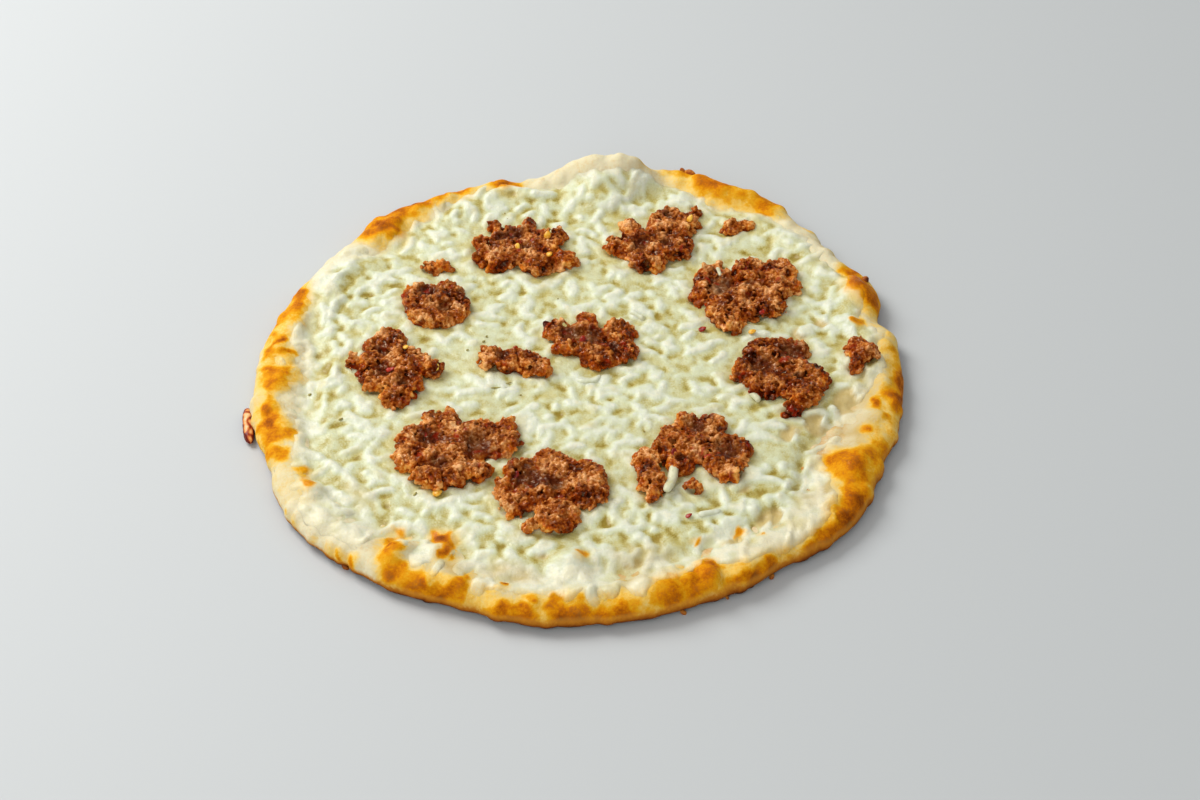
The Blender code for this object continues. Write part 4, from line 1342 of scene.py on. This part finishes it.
# Pepper flakes: torn skin of dried red pepper, 2 to 5 mm across and curled, most of them on the
# meat and two on the cheese. Places and sizes as for the seeds.
FLAKES = [
    (-44, -39, 4.9, 4.6, 3.2, 0.6, 0.3), (-41, -36, 4.6, 3, 2, 1.8, 0.4),
    (1, 13, 3.8, 3.4, 2.6, 1.3, 0.3), (35, -49, 4.4, 3.2, 2.2, 1.7, 0.5),
    (-71, -5, 4.2, 4, 2.4, 0.4, 0.2), (40, -77, 0.4, 2.8, 2, 0.5, 0.3),
    (47, -50, 4.6, 2.8, 1.8, 0.2, 0.4), (3, -53, 4.4, 5, 2.2, 0.1, 0.2),
    (-20, 72, 4.8, 2.4, 1.8, 1, 0.3), (32, 88, 5, 3, 1.8, 2, 0.4),
    (22, 78, 4.2, 2.6, 1.8, 0.6, 0.3), (70, 30, 4.6, 2.6, 2, 1.1, 0.4),
    (64, 56, 5, 2.4, 1.6, 0.3, 0.2), (82, -14, 4.4, 2.4, 1.6, 2.2, 0.4),
    (-22, -60, 3.8, 3.2, 2, 1.2, 0.4), (-56, -40, 4.6, 2.6, 1.8, 2.4, 0.3),
    (14, 11, 4.2, 2, 1.6, 0.8, 0.3), (106, 9, 3.6, 2.4, 1.6, 1.4, 0.4),
    (47, 24, 0.8, 3, 2.6, 0.4, 0.2),
]
FLAKE_FLATNESS = 0.4

rings = roughened(flat_grains(FLAKES, FLAKE_FLATNESS), 0.35, 1.4, seed=61)
flakes = mesh_object("pepper_flakes", *closed_skin(rings))
flakes.data.materials.append(translucent_pepper("red_pepper_skin", "#6E0E04", "#B42A08"))
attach(flakes, "root")

# Herb specks: dried leaf and pepper dust on the cheese, 0.6 to 1.2 mm across, and larger bits of
# leaf and stalk, up to 9 mm long. Places and sizes as for the seeds.
SPECK_COUNT = 9
STALKS = [
    (-31, -11, 0.25, 9, 0.7, 0.05, 0.02), (-27, -8, 0.3, 4, 0.7, 0.2, 0.1),
    (-88, -29, 0.3, 2, 1.1, 0.3, 0.2), (-101, -14, 0.3, 1.6, 1.2, 0.3, 0.2),
    (-58, -68, 0.3, 2.2, 1, 0.9, 0.2), (-37, 15, 0.3, 1.4, 1, 0.3, 0.2),
    (-36, 18, 0.3, 1.2, 0.9, 1.3, 0.2), (-43, 10, 0.3, 1.2, 0.9, 0, 0.2),
    (52, -58, 0.3, 3.4, 0.8, 0.5, 0.1), (-84, 40, 0.3, 1.8, 0.8, 0.2, 0.1),
    (24, -33, 0.3, 1.6, 0.8, 2, 0.1),
]
SPECK_FLATNESS = 0.6

draw = np.random.default_rng(31)
radius = 100 * np.sqrt(draw.random(SPECK_COUNT))
angle = 2 * np.pi * draw.random(SPECK_COUNT)
long = draw.uniform(0.6, 1.2, SPECK_COUNT)
dust = np.stack([
    *on_ray(radius, angle), np.full(SPECK_COUNT, 0.05), long,
    long * draw.uniform(0.5, 0.9, SPECK_COUNT), angle, draw.normal(0, 0.2, SPECK_COUNT),
], -1)
dust = dust[clump_distance(dust[:, 0], dust[:, 1]) > 2]
rings = flat_grains(np.concatenate([STALKS, dust]), SPECK_FLATNESS, levels=4, around=6)
specks = mesh_object("herb_specks", *closed_skin(rings))
specks.data.materials.append(translucent_pepper("dried_herb", "#8E8240", "#B8AC62"))
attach(specks, "root")

# Charred crumbs: bits of cheese and dough that caught on the oven floor, 1 to 3 mm across, stuck
# to the foot of the crust, and the knobs that stand on its rim.
# Each: angle, distance out from the edge, height, radius
CHAR = [
    (8.6, -0.9, 1.0, 1.1), (4.3, -1, 1, 1.1), (332, -1, 0.7, 1), (305, -1, 0.7, 1),
    (230, -1, 0.8, 1), (288, -1, 0.6, 0.9), (296, -1, 0.6, 0.8), (348, -1, 0.7, 0.8),
    (16, -1.2, 2.4, 1.2), (26, -2.6, 8.6, 1.5), (70, -2.6, 9.2, 1.8), (71.5, -2, 8.4, 1.4),
]

draw = np.random.default_rng(5)
angle, out, height, size = np.array(CHAR).T
middles = np.stack([*edge_place(angle, -out), height], -1)
rings = roughened(granule_bodies(middles, size, draw, levels=7, around=12), 0.3, 1.3, seed=62)
char = mesh_object("charred_crumbs", *closed_skin(rings))


def charred_crumb():
    """Cheese and crumb burnt hard: dry, from red-brown to almost black."""
    material, place = new_material("charred_crumb")
    cloud = add(material, "TexNoise", {"Vector": place, "Scale": 420, "Detail": 4})
    colour = add(material, "ValToRGB", {"Fac": cloud}, stops=[
        (0.3, "#5A2408"), (0.5, "#A4581A"), (0.7, "#D08A30"),
    ])
    return finish_surface(material, {"Base Color": colour, "Roughness": 0.5, "Specular IOR Level": 0.2})


char.data.materials.append(charred_crumb())
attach(char, "root")

# The table: a plain pale floor, with a large soft light from the left and behind, a weak one
# from the front, and a pale room around.
FLOOR_SIDE = 14000


def plain_floor():
    """Matt pale grey board."""
    material, _ = new_material("matt_pale_floor")
    return finish_surface(material, {"Base Color": paint("#C4C6C5"), "Roughness": 0.6, "IOR": 1.5})


half = FLOOR_SIDE / 2
corners = np.array([(-half, -half, 0), (half, -half, 0), (half, half, 0), (-half, half, 0)])
floor = mesh_object("floor", corners, np.array([[0, 1, 2, 3]]), np.empty((0, 3), dtype=int))
floor.data.materials.append(plain_floor())


def soft_light(name, place, size, power):
    """A square lamp in millimetres and watts that faces the middle of the pie."""
    lamp = bpy.data.lights.new(name, "AREA")
    lamp.size = size * MM
    lamp.energy = power
    light = bpy.data.objects.new(name, lamp)
    light.location = np.array(place) * MM
    light.rotation_euler = (-light.location).to_track_quat("-Z", "Y").to_euler()
    bpy.context.scene.collection.objects.link(light)


soft_light("window", (-750, 550, 900), 700, 14.5)
soft_light("room", (-350, -1000, 750), 1200, 5.5)
world = bpy.data.worlds.new("pale room")
world.use_nodes = True
background = world.node_tree.nodes["Background"].inputs
background["Color"].default_value = paint("#EDF0F2")
background["Strength"].default_value = 0.5
bpy.context.scene.world = world
bpy.context.scene.view_settings.view_transform = "Standard"

# The camera: a 75 mm lens, 0.95 m away and 43 degrees above the table, as in the photograph.
TARGET = (7.8, -7.9, 0)
CAMERA_DISTANCE = 946
CAMERA_ABOVE = 42.92
CAMERA_ROLL = 0.77
LENS = 75

lens = bpy.data.cameras.new("camera")
lens.lens = LENS
camera = bpy.data.objects.new("camera", lens)
above = np.radians(CAMERA_ABOVE)
camera.location = (
    np.array(TARGET) + CAMERA_DISTANCE * np.array([0, -np.cos(above), np.sin(above)])
) * MM
camera.rotation_mode = "XYZ"
level_turn = np.radians(90) - above
roll = np.radians(CAMERA_ROLL)
camera.rotation_euler = (level_turn, 0, 0)
camera.rotation_euler.rotate_axis("Z", roll)
bpy.context.scene.collection.objects.link(camera)
bpy.context.scene.camera = camera
